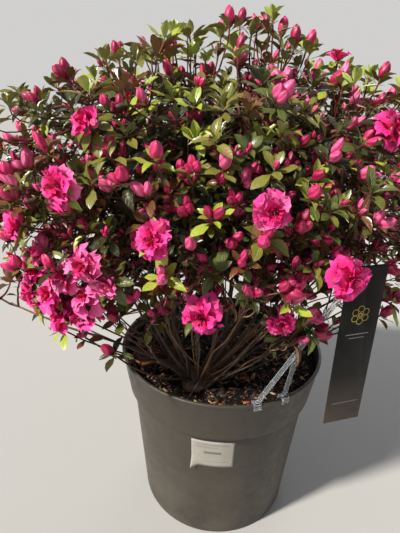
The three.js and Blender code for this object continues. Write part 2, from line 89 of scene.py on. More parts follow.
def spiral(k: int, count: int) -> Vec:
    """Direction k of a count of them that spread evenly all round."""
    z = 1 - (2 * k + 1) / count
    return around(GOLDEN * k, sqrt(1 - z * z), z)


def ramp(value: float, length: float) -> float:
    """How far a value is along a length, kept from 0 to 1."""
    return min(1.0, max(0.0, value / length))


def across(way: Vec, rough: Vec) -> Vec:
    """The part of each rough direction that stands square to each way."""
    return unit(rough - np.sum(rough * way, axis=-1, keepdims=True) * way)


def any_side(way: Vec) -> Vec:
    """Some direction square to each way."""
    return across(way, np.broadcast_to(np.where(np.abs(way[..., 2:3]) > 0.9, vec(1, 0, 0), UP), way.shape))


def fan(way: Vec, turn: Vec, lean: Vec) -> tuple[Vec, Vec]:
    """Spreads directions round a way.

    Args:
        way: the way, or one for each direction.
        turn: the angle of each round it.
        lean: the angle of each off it.

    Returns:
        The directions, and the sideways part of each.
    """
    side = any_side(way)
    out = np.cos(turn)[:, None] * side + np.sin(turn)[:, None] * np.cross(way, side)
    return unit(np.cos(lean)[:, None] * way + np.sin(lean)[:, None] * out), out


def seeded(seed: int) -> float:
    """The third number of one of the source's repeatable streams.

    Args:
        seed: which stream.

    Returns:
        The number, from 0 to 1.
    """
    state = ((seed + 1) * 2654435761) & 0xFFFFFFFF
    for _ in range(3):
        state = (state * 1664525 + 1013904223) & 0xFFFFFFFF
    return state / 4294967296


def paint(code: str) -> tuple[float, float, float, float]:
    """A linear colour for a shader from its web code."""
    parts = [int(code[k : k + 2], 16) / 255 for k in (0, 2, 4)]
    return (*(p / 12.92 if p <= 0.04045 else ((p + 0.055) / 1.055) ** 2.4 for p in parts), 1.0)


# Modelling by operators


def shift(x: float, y: float, z: float) -> None:
    """Moves what is selected."""
    bpy.ops.transform.translate(value=(x, y, z))


def scale(x: float, y: float, z: float, about: Point = (0, 0, 0)) -> None:
    """Resizes what is selected, about a point."""
    bpy.ops.transform.resize(value=(x, y, z), center_override=about)


def extrude(rise: float) -> None:
    """Extrudes what is selected and lifts it."""
    bpy.ops.mesh.extrude_region_move(TRANSFORM_OT_translate={"value": (0, 0, rise)})


def select_all() -> None:
    """Selects the whole mesh."""
    bpy.ops.mesh.select_all(action="SELECT")


def in_scene(name: str, data: bpy.types.ID) -> Object:
    """A new object of a mesh, light or camera, at the origin of the scene."""
    bpy.context.scene.collection.objects.link(made := bpy.data.objects.new(name, data))
    return made


class Model:
    """One mesh that is being modelled with operators, from its first primitive to its object."""

    def __init__(self, name: str, *parts: Object) -> None:
        """Deselects everything, so that the next primitive stands alone, or joins objects that are there.

        Args:
            name: the model's name.
            parts: the objects to join.
        """
        self.name = name
        bpy.ops.object.select_all(action="DESELECT")
        for part in parts:
            part.select_set(True)
            bpy.context.view_layer.objects.active = parts[0]
        if len(parts) > 1:
            bpy.ops.object.join()
        if parts:
            self.adopt()

    def adopt(self) -> None:
        """Takes the active object, such as the primitive that was just added."""
        self.shape = bpy.context.object
        self.shape.name = self.shape.data.name = self.name

    @contextmanager
    def editing(self) -> Iterator[None]:
        """Edit mode on this model, with vertex selection, for the length of a with block.

        Yields:
            Nothing.
        """
        bpy.context.view_layer.objects.active = self.shape
        bpy.ops.object.mode_set(mode="EDIT")
        bpy.ops.mesh.select_mode(type="VERT")
        yield
        bpy.ops.object.mode_set(mode="OBJECT")

    def placed(self, place: Point, size: Point = (1, 1, 1)) -> "Model":
        """Takes the primitive that was just added, and gives it its size and place in its mesh.

        Args:
            place: how far it is moved, once it has its size.
            size: what its size is multiplied by.

        Returns:
            The model.
        """
        self.adopt()
        with self.editing():
            scale(*size)
            shift(*place)
        return self

    def grid(self, columns: int, rows: int, width: float, length: float, place: Point = (0, 0, 0)) -> "Model":
        """A flat grid in X and Y, with the middle of its near edge at a place."""
        bpy.ops.mesh.primitive_grid_add(x_subdivisions=columns, y_subdivisions=rows, size=1)
        return self.placed((0, 0.5, 0)).placed(place, (width, length, 1))

    def ring(self, sides: int, radius: float, place: Point = (0, 0, 0), filled: bool = False) -> "Model":
        """A circle to draw walls up from."""
        bpy.ops.mesh.primitive_circle_add(vertices=sides, radius=radius, fill_type="NGON" if filled else "NOTHING")
        return self.placed(place)

    def box(self, size: Point, place: Point = (0, 0, 0)) -> "Model":
        """A box of a size."""
        bpy.ops.mesh.primitive_cube_add(size=1)
        return self.placed(place, size)

    def pick(self, test: Callable[[Vector], bool]) -> None:
        """Selects, in edit mode, the vertices that pass a test, and the edges and faces between them.

        Args:
            test: tells from a vertex's place whether it is taken.
        """
        shape = bmesh.from_edit_mesh(self.shape.data)
        for vertex in shape.verts:
            vertex.select = False
        for vertex in shape.verts:
            vertex.select_set(bool(test(vertex.co)))
        shape.select_flush_mode()
        bmesh.update_edit_mesh(self.shape.data)

    def draw_up(self, profile: Iterable[tuple[float, float]]) -> "Model":
        """Extrudes the ring that is selected through a profile, and closes it at the end.

        Args:
            profile: radius and height of each next ring, from the ring that is there.

        Returns:
            The model.
        """
        with self.editing():
            here = [v.co for v in bmesh.from_edit_mesh(self.shape.data).verts]
            radius, height = hypot(here[0].x, here[0].y), here[0].z
            select_all()
            for next_radius, next_height in profile:
                extrude(next_height - height)
                grow = next_radius / radius
                scale(grow, grow, 1, (0, 0, next_height))
                radius, height = next_radius, next_height
            bpy.ops.mesh.merge(type="CENTER")
        return self

    def modify(self, kind: str, **settings: object) -> "Model":
        """Adds one modifier and applies it.

        Args:
            kind: the modifier's type.
            settings: its settings.

        Returns:
            The model.
        """
        bpy.context.view_layer.objects.active = self.shape
        modifier = self.shape.modifiers.new(kind.title(), kind)
        for key, value in settings.items():
            setattr(modifier, key, value)
        bpy.ops.object.modifier_apply(modifier=modifier.name)
        return self

    def crumble(self, size: float, depth: int, **settings: object) -> "Model":
        """Displaces the surface by clouds.

        Args:
            size: the size of the clouds, in metres.
            depth: how many finer layers they have.
            settings: the modifier's other settings.

        Returns:
            The model.
        """
        clouds = bpy.data.textures.new(self.name, "CLOUDS")
        clouds.noise_scale, clouds.noise_depth = size, depth
        return self.modify("DISPLACE", texture=clouds, **settings)

    def smooth(self, angle: float) -> "Model":
        """Shades the faces smooth across all edges flatter than an angle.

        Args:
            angle: the angle, in degrees.

        Returns:
            The model.
        """
        bpy.ops.object.select_all(action="DESELECT")
        self.shape.select_set(True)
        bpy.context.view_layer.objects.active = self.shape
        bpy.ops.object.shade_smooth_by_angle(angle=radians(angle))
        return self

    def outward(self) -> "Model":
        """Merges doubles and turns the faces outwards.

        Returns:
            The model.
        """
        with self.editing():
            select_all()
            bpy.ops.mesh.remove_doubles(threshold=1e-6)
            bpy.ops.mesh.normals_make_consistent(inside=False)
        return self

    def remap(self, change: Callable[[Vec], Vec]) -> "Model":
        """Moves the vertices by a function of all of them.

        Args:
            change: gives the new points from the old ones.

        Returns:
            The model.
        """
        points = change(np.array([v.co for v in self.shape.data.vertices]))
        self.shape.data.vertices.foreach_set("co", points.astype(np.float32).ravel())
        return self

    def template(self) -> "Template":
        """Reads the finished shape as a template for copies, and removes its object.

        Returns:
            The template.
        """
        shape = Template.read(self.shape.data)
        bpy.data.objects.remove(self.shape)
        return shape


@dataclass
class Template:
    """A small shape that is modelled once and copied many times."""

    points: Vec
    corners: Vec
    counts: Vec
    uv: Vec

    @classmethod
    def read(cls, mesh: bpy.types.Mesh) -> "Template":
        """Takes a mesh's points, faces and UV map.

        Args:
            mesh: the mesh.

        Returns:
            The template.
        """
        corners, counts = np.empty(len(mesh.loops), int), np.empty(len(mesh.polygons), int)
        mesh.loops.foreach_get("vertex_index", corners)
        mesh.polygons.foreach_get("loop_total", counts)
        flat = np.zeros(2 * len(mesh.loops), np.float32)
        if mesh.uv_layers:
            mesh.uv_layers[0].uv.foreach_get("vector", flat)
        return cls(np.array([v.co for v in mesh.vertices]), corners, counts, flat.reshape(-1, 2).astype(float))

    def bent(self, change: Callable[[Vec], Vec]) -> "Template":
        """A copy whose points are moved by a function of all of them."""
        return replace(self, points=change(self.points.copy()))

    def turns(self) -> Vec:
        """Maps the shape round Z.

        Returns:
            For each corner its share of a turn, running past 1 where a face crosses the seam.
        """
        turn = (np.arctan2(self.points[:, 1], self.points[:, 0]) / tau % 1.0)[self.corners]
        start = 0
        for count in self.counts:
            block = turn[start : start + count]
            if block.max() - block.min() > 0.5:
                block[block < 0.25] += 1.0
            start += count
        return turn


class Gathered:
    """Copies of templates that become one joined piece."""

    def __init__(self) -> None:
        """Starts with nothing: rows of points, corners, counts and UV, a list of each."""
        self.rows: tuple[list[Vec], ...] = ([], [], [], [])
        self.size = 0

    def add(self, shape: Template, points: Vec, uv: Vec | None = None) -> None:
        """Adds copies of one template.

        Args:
            shape: the template.
            points: copies by points by 3, in metres.
            uv: another UV map for the copies, if they have their own.
        """
        copies, each = points.shape[:2]
        corners = shape.corners[None] + self.size + each * np.arange(copies)[:, None]
        maps = np.tile(shape.uv if uv is None else uv, (copies, 1))
        for rows, more in zip(self.rows, (points.reshape(-1, 3), corners.ravel(), np.tile(shape.counts, copies), maps)):
            rows.append(more)
        self.size += copies * each

    def place(self, shape: Template, roots: Vec, ways: Vec, tops: Vec, *sizes: Vec) -> None:
        """Adds a copy at each root, its Y along the way and its Z along the top.

        Args:
            shape: the template.
            roots: where each copy's origin goes, in millimetres.
            ways: direction of each copy's Y.
            tops: direction of each copy's Z.
            sizes: how many millimetres a unit is along X, Y and Z, for each copy.
        """
        if len(roots):
            axes = zip((np.cross(ways, tops), ways, tops), sizes)
            frames = np.stack([axis * size[:, None] for axis, size in axes], axis=1)
            self.add(shape, (shape.points @ frames + roots[:, None]) * MM)

    def mix(self, shapes: Sequence[Template], forms: Vec, *rows: Vec) -> None:
        """Adds a copy of one of several templates for each row.

        Args:
            shapes: the templates.
            forms: which of them each row takes, or -1 for none.
            rows: the roots, ways, tops and sizes.
        """
        for form, shape in enumerate(shapes):
            self.place(shape, *(row[forms == form] for row in rows))

    def piece(self, name: str) -> Object:
        """Makes the joined mesh and its object.

        Args:
            name: the piece's name.

        Returns:
            The object, at the origin.
        """
        points, corners, counts, uv = (np.concatenate(rows) for rows in self.rows)
        mesh = bpy.data.meshes.new(name)
        mesh.vertices.add(self.size)
        mesh.vertices.foreach_set("co", points.astype(np.float32).ravel())
        mesh.loops.add(len(corners))
        mesh.loops.foreach_set("vertex_index", corners.astype(np.int32))
        mesh.polygons.add(len(counts))
        mesh.polygons.foreach_set("loop_start", (np.cumsum(counts) - counts).astype(np.int32))
        mesh.polygons.foreach_set("use_smooth", np.ones(len(counts), bool))
        mesh.uv_layers.new(name="UVMap").uv.foreach_set("vector", uv.astype(np.float32).ravel())
        mesh.update(calc_edges=True)
        mesh.validate()
        return in_scene(name, mesh)


def dress(shape: Object, finish: "Finish", slot: str, *nodes: str) -> Object:
    """Gives a piece its finish and its place on the frame.

    Args:
        shape: the finished piece.
        finish: what its surface is.
        slot: the record's material slot; not used.
        nodes: the CAD nodes that it stands for.

    Returns:
        The piece.
    """
    shape.data.materials.clear()
    shape.data.materials.append(finish.material())
    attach(shape, "root")
    if nodes:
        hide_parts(*nodes)
    LOG.info("%s: %d faces, finish %s", shape.name, len(shape.data.polygons), finish.label)
    return shape


# Shader parts


@dataclass(frozen=True)
class Field:
    """A value that changes over a surface: a socket that takes part in plain sums."""

    wiring: "Wiring"
    socket: bpy.types.NodeSocket

    def sum(self, how: str, *values: object) -> "Field":
        """The result of one of the Math node's operations."""
        return self.wiring.out("Math", dict(enumerate(values)), operation=how)

    def __add__(self, other: object) -> "Field":
        """The sum of both."""
        return self.sum("ADD", self, other)

    def __sub__(self, other: object) -> "Field":
        """What is left of this one."""
        return self.sum("SUBTRACT", self, other)

    def __rsub__(self, other: object) -> "Field":
        """What is left of the other."""
        return self.sum("SUBTRACT", other, self)

    def __mul__(self, other: object) -> "Field":
        """The product of both."""
        return self.sum("MULTIPLY", self, other)

    def most(self, other: object) -> "Field":
        """The larger of both."""
        return self.sum("MAXIMUM", self, other)

    def sine(self) -> "Field":
        """The sine."""
        return self.sum("SINE", self)

    def span(self, low: object, high: object, to_low: float = 0, to_high: float = 1) -> "Field":
        """The value moved from one range to another, and kept in it."""
        return self.wiring.out("MapRange", dict(enumerate((self, low, high, to_low, to_high))))

    def noise(self, size: object, detail: float = 3, rough: float = 0.5) -> "Field":
        """A cloudy field from 0 to 1 at these coordinates."""
        return self.wiring.out("TexNoise", {"Vector": self, "Scale": size, "Detail": detail, "Roughness": rough})

    def cells(self, size: object) -> "Field":
        """The distance from the middle of scattered cells at these coordinates."""
        return self.wiring.out("TexVoronoi", {"Vector": self, "Scale": size})

    def stretched(self, *scales: float) -> "Field":
        """These coordinates with another scale along each axis."""
        return self.wiring.out("Mapping", {"Vector": self, "Scale": scales})

    def part(self, axis: int) -> "Field":
        """One of the three coordinates."""
        return self.wiring.out("SeparateXYZ", {0: self}, axis)


class Wiring:
    """A node tree, with short ways to add nodes and join them."""

    def __init__(self, tree: bpy.types.NodeTree) -> None:
        """Keeps the tree."""
        self.tree = tree

    def join(self, value: object, socket: bpy.types.NodeSocket) -> None:
        """Links a field to a socket, or sets the socket.

        Args:
            value: a field, a plain value or a colour's web code.
            socket: the input.
        """
        if isinstance(value, Field):
            self.tree.links.new(value.socket, socket)
        else:
            socket.default_value = paint(value) if isinstance(value, str) else value

    def node(self, kind: str, inputs: dict[str | int, object], **settings: object) -> bpy.types.Node:
        """Adds a node.

        Args:
            kind: the node's type name without its ShaderNode prefix.
            inputs: what goes into each named input.
            settings: the node's own settings.

        Returns:
            The node.
        """
        made = self.tree.nodes.new("ShaderNode" + kind)
        made.location = (200 * len(self.tree.nodes), 0)
        for key, value in settings.items():
            setattr(made, key, value)
        for key, value in inputs.items():
            self.join(value, made.inputs[key])
        return made

    def out(self, kind: str, inputs: dict[str | int, object], pick: str | int = 0, **settings: object) -> Field:
        """Adds a node, and gives one of its outputs."""
        return Field(self, self.node(kind, inputs, **settings).outputs[pick])

    def blend(self, share: object, first: object, second: object, how: str = "MIX") -> Field:
        """Two colours, mixed by a share."""
        return self.out("Mix", {0: share, 6: first, 7: second}, 2, data_type="RGBA", blend_type=how)


Given = dict[str, Field]


@dataclass(frozen=True)
class Effect:
    """A shader effect that several finishes share, kept as one node group.

    Each input has its kind, or a number that is its usual value. Each output has its kind.
    """

    label: str
    inputs: dict[str, str | float]
    outputs: dict[str, str]
    wire: Callable[[Wiring, Given], Sequence[Field]]

    def tree(self) -> bpy.types.NodeTree:
        """Builds the group once, and gives it again each time after that.

        Returns:
            The group's tree.
        """
        if made := bpy.data.node_groups.get(self.label):
            return made
        made = bpy.data.node_groups.new(self.label, "ShaderNodeTree")
        for name, kind in self.inputs.items():
            plain = isinstance(kind, float)
            socket = made.interface.new_socket(
                name, in_out="INPUT", socket_type="NodeSocketFloat" if plain else "NodeSocket" + kind)
            if plain:
                socket.default_value = kind
        for name, kind in self.outputs.items():
            made.interface.new_socket(name, in_out="OUTPUT", socket_type="NodeSocket" + kind)
        w, entry, leave = Wiring(made), made.nodes.new("NodeGroupInput"), made.nodes.new("NodeGroupOutput")
        fields = self.wire(w, {name: Field(w, entry.outputs[name]) for name in self.inputs})
        for name, value in zip(self.outputs, fields):
            w.join(value, leave.inputs[name])
        return made


def wire_mottle(w: Wiring, given: Given) -> Sequence[Field]:
    """Two colours in soft clouds, with finer specks of the second.

    Args:
        w: the group's tree.
        given: its inputs.

    Returns:
        Its outputs.
    """
    place, size = given["Vector"], given["Scale"]
    both = place.noise(size, 4, 0.55) * 0.72 + place.noise(size * 7.3, 2) * 0.28
    mask = both.span(0.36, 0.64) * given["Amount"]
    return w.blend(mask, given["Color"], given["Second"]), mask


def wire_dust(w: Wiring, given: Given) -> Sequence[Field]:
    """Pale dust that gathers low down and in patches, and dries in streaks.

    Args:
        w: the group's tree.
        given: its inputs.

    Returns:
        Its outputs.
    """
    place = given["Vector"]
    low = place.part(2).span(given["Top"], given["Bottom"])
    patch = place.noise(9.0, 5, 0.6).span(0.38, 0.68)
    streak = place.stretched(60, 60, 4).noise(1.0, 3, 0.6).span(0.45, 0.75)
    speck = place.noise(190.0, 2).span(0.68, 0.72)
    mask = ((low * patch + streak * 0.1) * 0.7).most(speck * low) * given["Amount"]
    return w.blend(mask, given["Color"], given["Dust"]), mask


def wire_fibre(w: Wiring, given: Given) -> Sequence[Field]:
    """Bark that runs along a limb: long fibres, cracks and small pale pores.

    Args:
        w: the group's tree; not used.
        given: its inputs.

    Returns:
        Its outputs.
    """
    place, size = given["Vector"], given["Scale"]
    pores = place.stretched(7, 150, 1).cells(size).span(0.16, 0.1)
    height = place.stretched(16, 60, 1).noise(size, 4, 0.6) * 0.7 + pores * 0.3
    return height, place.stretched(9, 22, 1).noise(size, 2, 0.5).span(0.35, 0.65), pores


def wire_veins(w: Wiring, given: Given) -> Sequence[Field]:
    """A midrib and the side veins that leave it, from a map that runs 0 to 1 across and along.

    Args:
        w: the group's tree; not used.
        given: its inputs.

    Returns:
        Its outputs.
    """
    along, middle = given["Vector"].part(1), given["Vector"].part(0) - 0.5
    side = middle.sum("ABSOLUTE", middle)
    fine = ((along - side * given["Slant"]) * given["Count"]).sine().span(0.72, 1.0, 0, 0.55)
    return side.span(0.05, 0.0).most(fine), along


def wire_grain(w: Wiring, given: Given) -> Sequence[Field]:
    """The fine grain of a moulded or pressed surface.

    Args:
        w: the group's tree; not used.
        given: its inputs.

    Returns:
        Its outputs.
    """
    place, size = given["Vector"], given["Scale"]
    broad = place.noise(size * 0.06, 2)
    return place.noise(size, 2, 0.6) * 0.5 + broad * 0.5, broad


TINTED = {"Vector": "Vector", "Color": "Color"}
MASKED = {"Color": "Color", "Mask": "Float"}
MOTTLE = Effect("Mottle", {**TINTED, "Second": "Color", "Scale": 30.0, "Amount": 1.0}, MASKED, wire_mottle)
DUST = Effect("Dust", {**TINTED, "Dust": "Color", "Top": 0.3, "Bottom": 0.0, "Amount": 0.5}, MASKED, wire_dust)
FIBRE = Effect(
    "Fibre", {"Vector": "Vector", "Scale": 1.0}, {"Height": "Float", "Mask": "Float", "Pores": "Float"}, wire_fibre)
VEINS = Effect(
    "Veins", {"Vector": "Vector", "Slant": 0.8, "Count": 60.0}, {"Mask": "Float", "Along": "Float"}, wire_veins)
GRAIN = Effect("Grain", {"Vector": "Vector", "Scale": 900.0}, {"Height": "Float", "Broad": "Float"}, wire_grain)

# Sockets of the shader that take a plain value
GLOSS, GLOW, GLOW_REACH = "Specular IOR Level", "Subsurface Weight", "Subsurface Radius"


class Surface(Wiring):
    """A material's tree, with its shader and the coordinates that finishes read."""

    def __init__(self, tree: bpy.types.NodeTree) -> None:
        """Finds the shader, and adds the object's coordinates and the piece's own map.

        Args:
            tree: the material's tree.
        """
        super().__init__(tree)
        self.shader, places = tree.nodes["Principled BSDF"], self.node("TexCoord", {}).outputs
        self.here, self.own = Field(self, places["Object"]), Field(self, places["UV"])

    def effect(self, effect: Effect, **inputs: object) -> list[Field]:
        """Places a shared effect, at the object's coordinates unless told otherwise, and gives its outputs."""
        made = self.node("Group", {"Vector": self.here, **inputs}, node_tree=effect.tree())
        return [Field(self, made.outputs[name]) for name in effect.outputs]

    def cover(self, colour: Field, rough: object, height: Field, depth: float, plain: dict[str, object]) -> None:
        """Joins colour, roughness and relief to the shader.

        Args:
            colour: the base colour.
            rough: the roughness.
            height: the relief.
            depth: how deep the relief is, in metres.
            plain: values of the shader's other sockets.
        """
        bump = self.out("Bump", {"Strength": 1.0, "Distance": depth, "Height": height})
        for name, value in {"Base Color": colour, "Roughness": rough, "Normal": bump, **plain}.items():
            self.join(value, self.shader.inputs[name])


# Finishes


@dataclass(frozen=True)
class Finish:
    """A surface finish. Each kind wires its own material."""

    label: str
    colour: str

    def material(self) -> bpy.types.Material:
        """Builds the material once, and gives it again each time after that.

        Returns:
            The material.
        """
        if made := bpy.data.materials.get(self.label):
            return made
        made = bpy.data.materials.new(self.label)
        made.use_nodes = True
        self.wire(Surface(made.node_tree))
        return made

    def wire(self, s: Surface) -> None:
        """Wires the finish's own nodes to the surface's shader."""
        raise NotImplementedError


@dataclass(frozen=True)
class MouldedPlastic(Finish):
    """The pot's satin plastic, darkened as painted shade, dusty towards its foot and scuffed."""

    worn: str
    dust: str

    def wire(self, s: Surface) -> None:
        """Mottled plastic under dust, with moulded grain, scratches and faint draw lines.

        Args:
            s: the surface.
        """
        base, _ = s.effect(MOTTLE, Color=self.colour, Second=self.worn, Scale=6.0, Amount=0.5)
        dusty, film = s.effect(DUST, Color=base, Dust=self.dust, Top=0.3, Bottom=0.02, Amount=0.34)
        scratch = s.here.stretched(14, 14, 220).noise(1.0, 4, 0.7).span(0.66, 0.72)
        grain, broad = s.effect(GRAIN, Scale=900.0)
        rough = broad.span(0.3, 0.7, 0.42, 0.56) + film * 0.3
        s.cover(s.blend(scratch * 0.14, dusty, self.dust), rough, grain - scratch * 0.5, 0.0004, {GLOSS: 0.45})


@dataclass(frozen=True)
class Grained(Finish):
    """A dull surface of two tones with a fine grain: print, paper, chips of bark or the studio's floor."""

    second: str
    rough: float = 0.5
    clouds: float = 38.0
    amount: float = 0.35
    grain: float = 1600.0
    depth: float = 0.0002

    def wire(self, s: Surface) -> None:
        """Soft clouds over a fine grain."""
        colour, _ = s.effect(MOTTLE, Color=self.colour, Second=self.second, Scale=self.clouds, Amount=self.amount)
        s.cover(colour, self.rough, s.effect(GRAIN, Scale=self.grain)[0], self.depth, {})


@dataclass(frozen=True)
class Compost(Finish):
    """Dark, crumbly potting compost, darkened further as painted shade under the crown."""

    light: str

    def wire(self, s: Surface) -> None:
        """Crumbs of two browns in three sizes."""
        colour, _ = s.effect(MOTTLE, Color=self.colour, Second=self.light, Scale=60.0, Amount=0.75)
        s.cover(colour, 0.95, s.here.cells(240.0) + s.here.noise(120.0, 5, 0.7), 0.003, {GLOSS: 0.2})


@dataclass(frozen=True)
class Bark(Finish):
    """Bark on wood of one age: fibrous, cracked and with small pores."""

    weathered: str
    pore: str
    depth: float = 0.0012

    def wire(self, s: Surface) -> None:
        """Fibres follow the limb's own map, and weathering follows its place.

        Args:
            s: the surface.
        """
        height, cracks, pores = s.effect(FIBRE, Vector=s.own, Scale=1.0)
        old, _ = s.effect(MOTTLE, Color=self.colour, Second=self.weathered, Scale=22.0, Amount=0.8)
        cracked = s.blend(cracks * 0.35, old, self.weathered, "MULTIPLY")
        colour = s.blend(pores * 0.45, cracked, self.pore)
        s.cover(colour, cracks.span(0, 1, 0.58, 0.82), height, self.depth, {GLOSS: 0.35})


@dataclass(frozen=True)
class LeafSkin(Finish):
    """A leathery, glossy leaf of one tint, paler beneath, where its colour is partly its own and partly painted light
    shining through it.
    """

    tinge: str
    rib: str
    beneath: str
    rough: float = 0.36

    def wire(self, s: Surface) -> None:
        """Tinged in patches, with a pale midrib, side veins and a dull underside whose colour is partly painted light
        shining through the leaf.

        Args:
            s: the surface.
        """
        veins, _ = s.effect(VEINS, Vector=s.own, Slant=0.55, Count=44.0)
        skin, patches = s.effect(MOTTLE, Color=self.colour, Second=self.tinge, Scale=26.0, Amount=0.65)
        under = s.out("NewGeometry", {}, "Backfacing")
        # The underside colour is partly the leaf's own paler tone and partly painted light shining through the leaf.
        colour = s.blend(under * 0.7, s.blend(veins * 0.34, skin, self.rib), self.beneath)
        rough = patches.span(0, 1, self.rough, self.rough + 0.12) + under * 0.25
        plain = {GLOSS: 0.62, GLOW: 0.08, GLOW_REACH: (0.002, 0.003, 0.001)}
        s.cover(colour, rough, 1.0 - veins, 0.0007, plain)


@dataclass(frozen=True)
class PetalSkin(Finish):
    """Thin, ruffled petal: paler at its edge, partly painted highlight, and deeper at its throat."""

    edge: str
    throat: str
    glow: float = 0.18

    def wire(self, s: Surface) -> None:
        """Deep throat, a paler margin that is partly painted highlight, and fine veins along the petal's own map.

        Args:
            s: the surface.
        """
        veins, along = s.effect(VEINS, Vector=s.own, Slant=1.6, Count=70.0)
        # The edge colour, in clouds and towards the tip, is partly the petal's paler margin and partly painted
        # highlight.
        skin, _ = s.effect(MOTTLE, Color=self.colour, Second=self.edge, Scale=34.0, Amount=0.6)
        pale = s.blend(along.span(0.55, 1.0, 0, 0.55), skin, self.edge)
        deep = s.blend(along.span(0.42, 0.08, 0, 0.8), pale, self.throat)
        plain = {GLOSS: 0.3, GLOW: self.glow, GLOW_REACH: (0.006, 0.002, 0.003)}
        s.cover(s.blend(veins * 0.2, deep, self.throat), 0.52, veins, 0.0006, plain)


@dataclass(frozen=True)
class BudSkin(Finish):
    """A bud's wound petals: painted shade in the grooves along their seams, painted highlight on the ridges, and darker
    towards base and tip.
    """

    # light is a painted highlight and seam a painted shade, both laid along the folds.
    light: str
    seam: str
    folds: float = 4.0

    def wire(self, s: Surface) -> None:
        """Painted shade in the seams, painted highlight on the ridges, and streaks follow the bud's own map.

        Args:
            s: the surface.
        """
        along, wave = s.own.part(1), (s.own.part(0) * (self.folds * tau)).sine()
        streak = s.own.stretched(26, 2.5, 1).noise(1.0, 3, 0.6)
        tone, _ = s.effect(MOTTLE, Color=self.colour, Second=self.light, Scale=40.0, Amount=0.55)
        # Painted highlight on the ridges of the folds.
        ridge_highlight = s.blend(wave.span(0.1, 1.0) * 0.32, tone, self.light)
        lined = s.blend(streak.span(0.5, 0.72, 0, 0.4), ridge_highlight, self.seam)
        # Painted shade in the grooves of the folds.
        wound = s.blend(wave.span(-0.35, -0.95) * 0.5, lined, self.seam)
        ends = along.span(0.3, 0.04).most(along.span(0.84, 1.0, 0, 0.6))
        plain = {GLOW: 0.08, GLOW_REACH: (0.004, 0.001, 0.002)}
        s.cover(s.blend(ends * 0.7, wound, self.seam), 0.4, wave * 0.7 + streak, 0.0008, plain)


@dataclass(frozen=True)
class PrintedCard(Finish):
    """The swing tag's satin card: charcoal that turns to a warm grey at its foot."""

    foot: str
    low: float
    high: float
    dust: str = "8a8278"

    def wire(self, s: Surface) -> None:
        """The change of tint follows the height, with dust and handling marks over it.

        Args:
            s: the surface.
        """
        tint = s.blend(s.here.part(2).span(self.high, self.low), self.colour, self.foot)
        dusty, _ = s.effect(DUST, Color=tint, Dust=self.dust, Top=0.9, Bottom=0.3, Amount=0.07)
        grain, broad = s.effect(GRAIN, Scale=1200.0)
        s.cover(dusty, broad.span(0.3, 0.7, 0.36, 0.5), grain, 0.0002, {GLOSS: 0.15})


@dataclass(frozen=True)
class ClearPlastic(Finish):
    """Clear moulded plastic, scuffed in its gloss."""

    scuffed: str
    plain = {"Transmission Weight": 0.9, "IOR": 1.3}

    def wire(self, s: Surface) -> None:
        """Clear, with a cloudy scuff and no relief.

        Args:
            s: the surface.
        """
        colour, scuff = s.effect(MOTTLE, Color=self.colour, Second=self.scuffed, Scale=45.0, Amount=0.5)
        for name, value in {"Base Color": colour, "Roughness": scuff.span(0, 0.6, 0.02, 0.08), **self.plain}.items():
            s.join(value, s.shader.inputs[name])


# The plant's growth, by the rule of the part's source


@dataclass(frozen=True)
class Line:
    """A quadratic Bezier line, in millimetres."""

    start: Vec
    knee: Vec
    end: Vec

    def at(self, share: float | Vec) -> Vec:
        """The point at a share of the line, or one for each of several shares."""
        t = np.asarray(share, float)[..., None]
        return (1 - t) ** 2 * self.start + 2 * t * (1 - t) * self.knee + t**2 * self.end

    def way(self, share: float | Vec) -> Vec:
        """The direction there."""
        t = np.asarray(share, float)[..., None]
        return unit((1 - t) * (self.knee - self.start) + t * (self.end - self.knee))


Run = tuple[Vec, Vec, float]


def runs_of(line: Line, steps: int, radius: float) -> list[Run]:
    """A line as straight stretches with a radius."""
    run = line.at(np.linspace(0, 1, steps + 1))
    return [(a, b, radius) for a, b in zip(run, run[1:])]


@dataclass
class Tip:
    """A place where a twig ends: whether it blooms, leads the crown, lies inside or surely opens."""

    toward: Vec
    point: Vec
    bloom: bool = False
    lead: bool = False
    inner: bool = False
    sure: bool = False


@dataclass
class Twig:
    """A twig from a limb to its tip."""

    line: Line
    tip: Tip
    order: int
    base: float
    end: float
    fine: bool = False


@dataclass
class Mass:
    """One mass of foliage: the bough and stem that feed it, and what grows from them."""

    name: str
    stool: str
    middle: Vec
    knee_out: float = 0.34
    knee_up: float = 0.4
    reach: float = 0.64
    overshoot: float = 0.12
    shoots: Pairs = ()
    bough: Line | None = None
    stem: Line | None = None
    tips: list[Tip] = field(default_factory=list)
    twigs: list[Twig] = field(default_factory=list)


@dataclass(frozen=True)
class Ring:
    """A tier of masses round the crown, with the side and the stump of each."""

    tier: str
    reach: float
    rise: float
    start: float
    sides: tuple[str, ...]
    stools: tuple[str, ...]


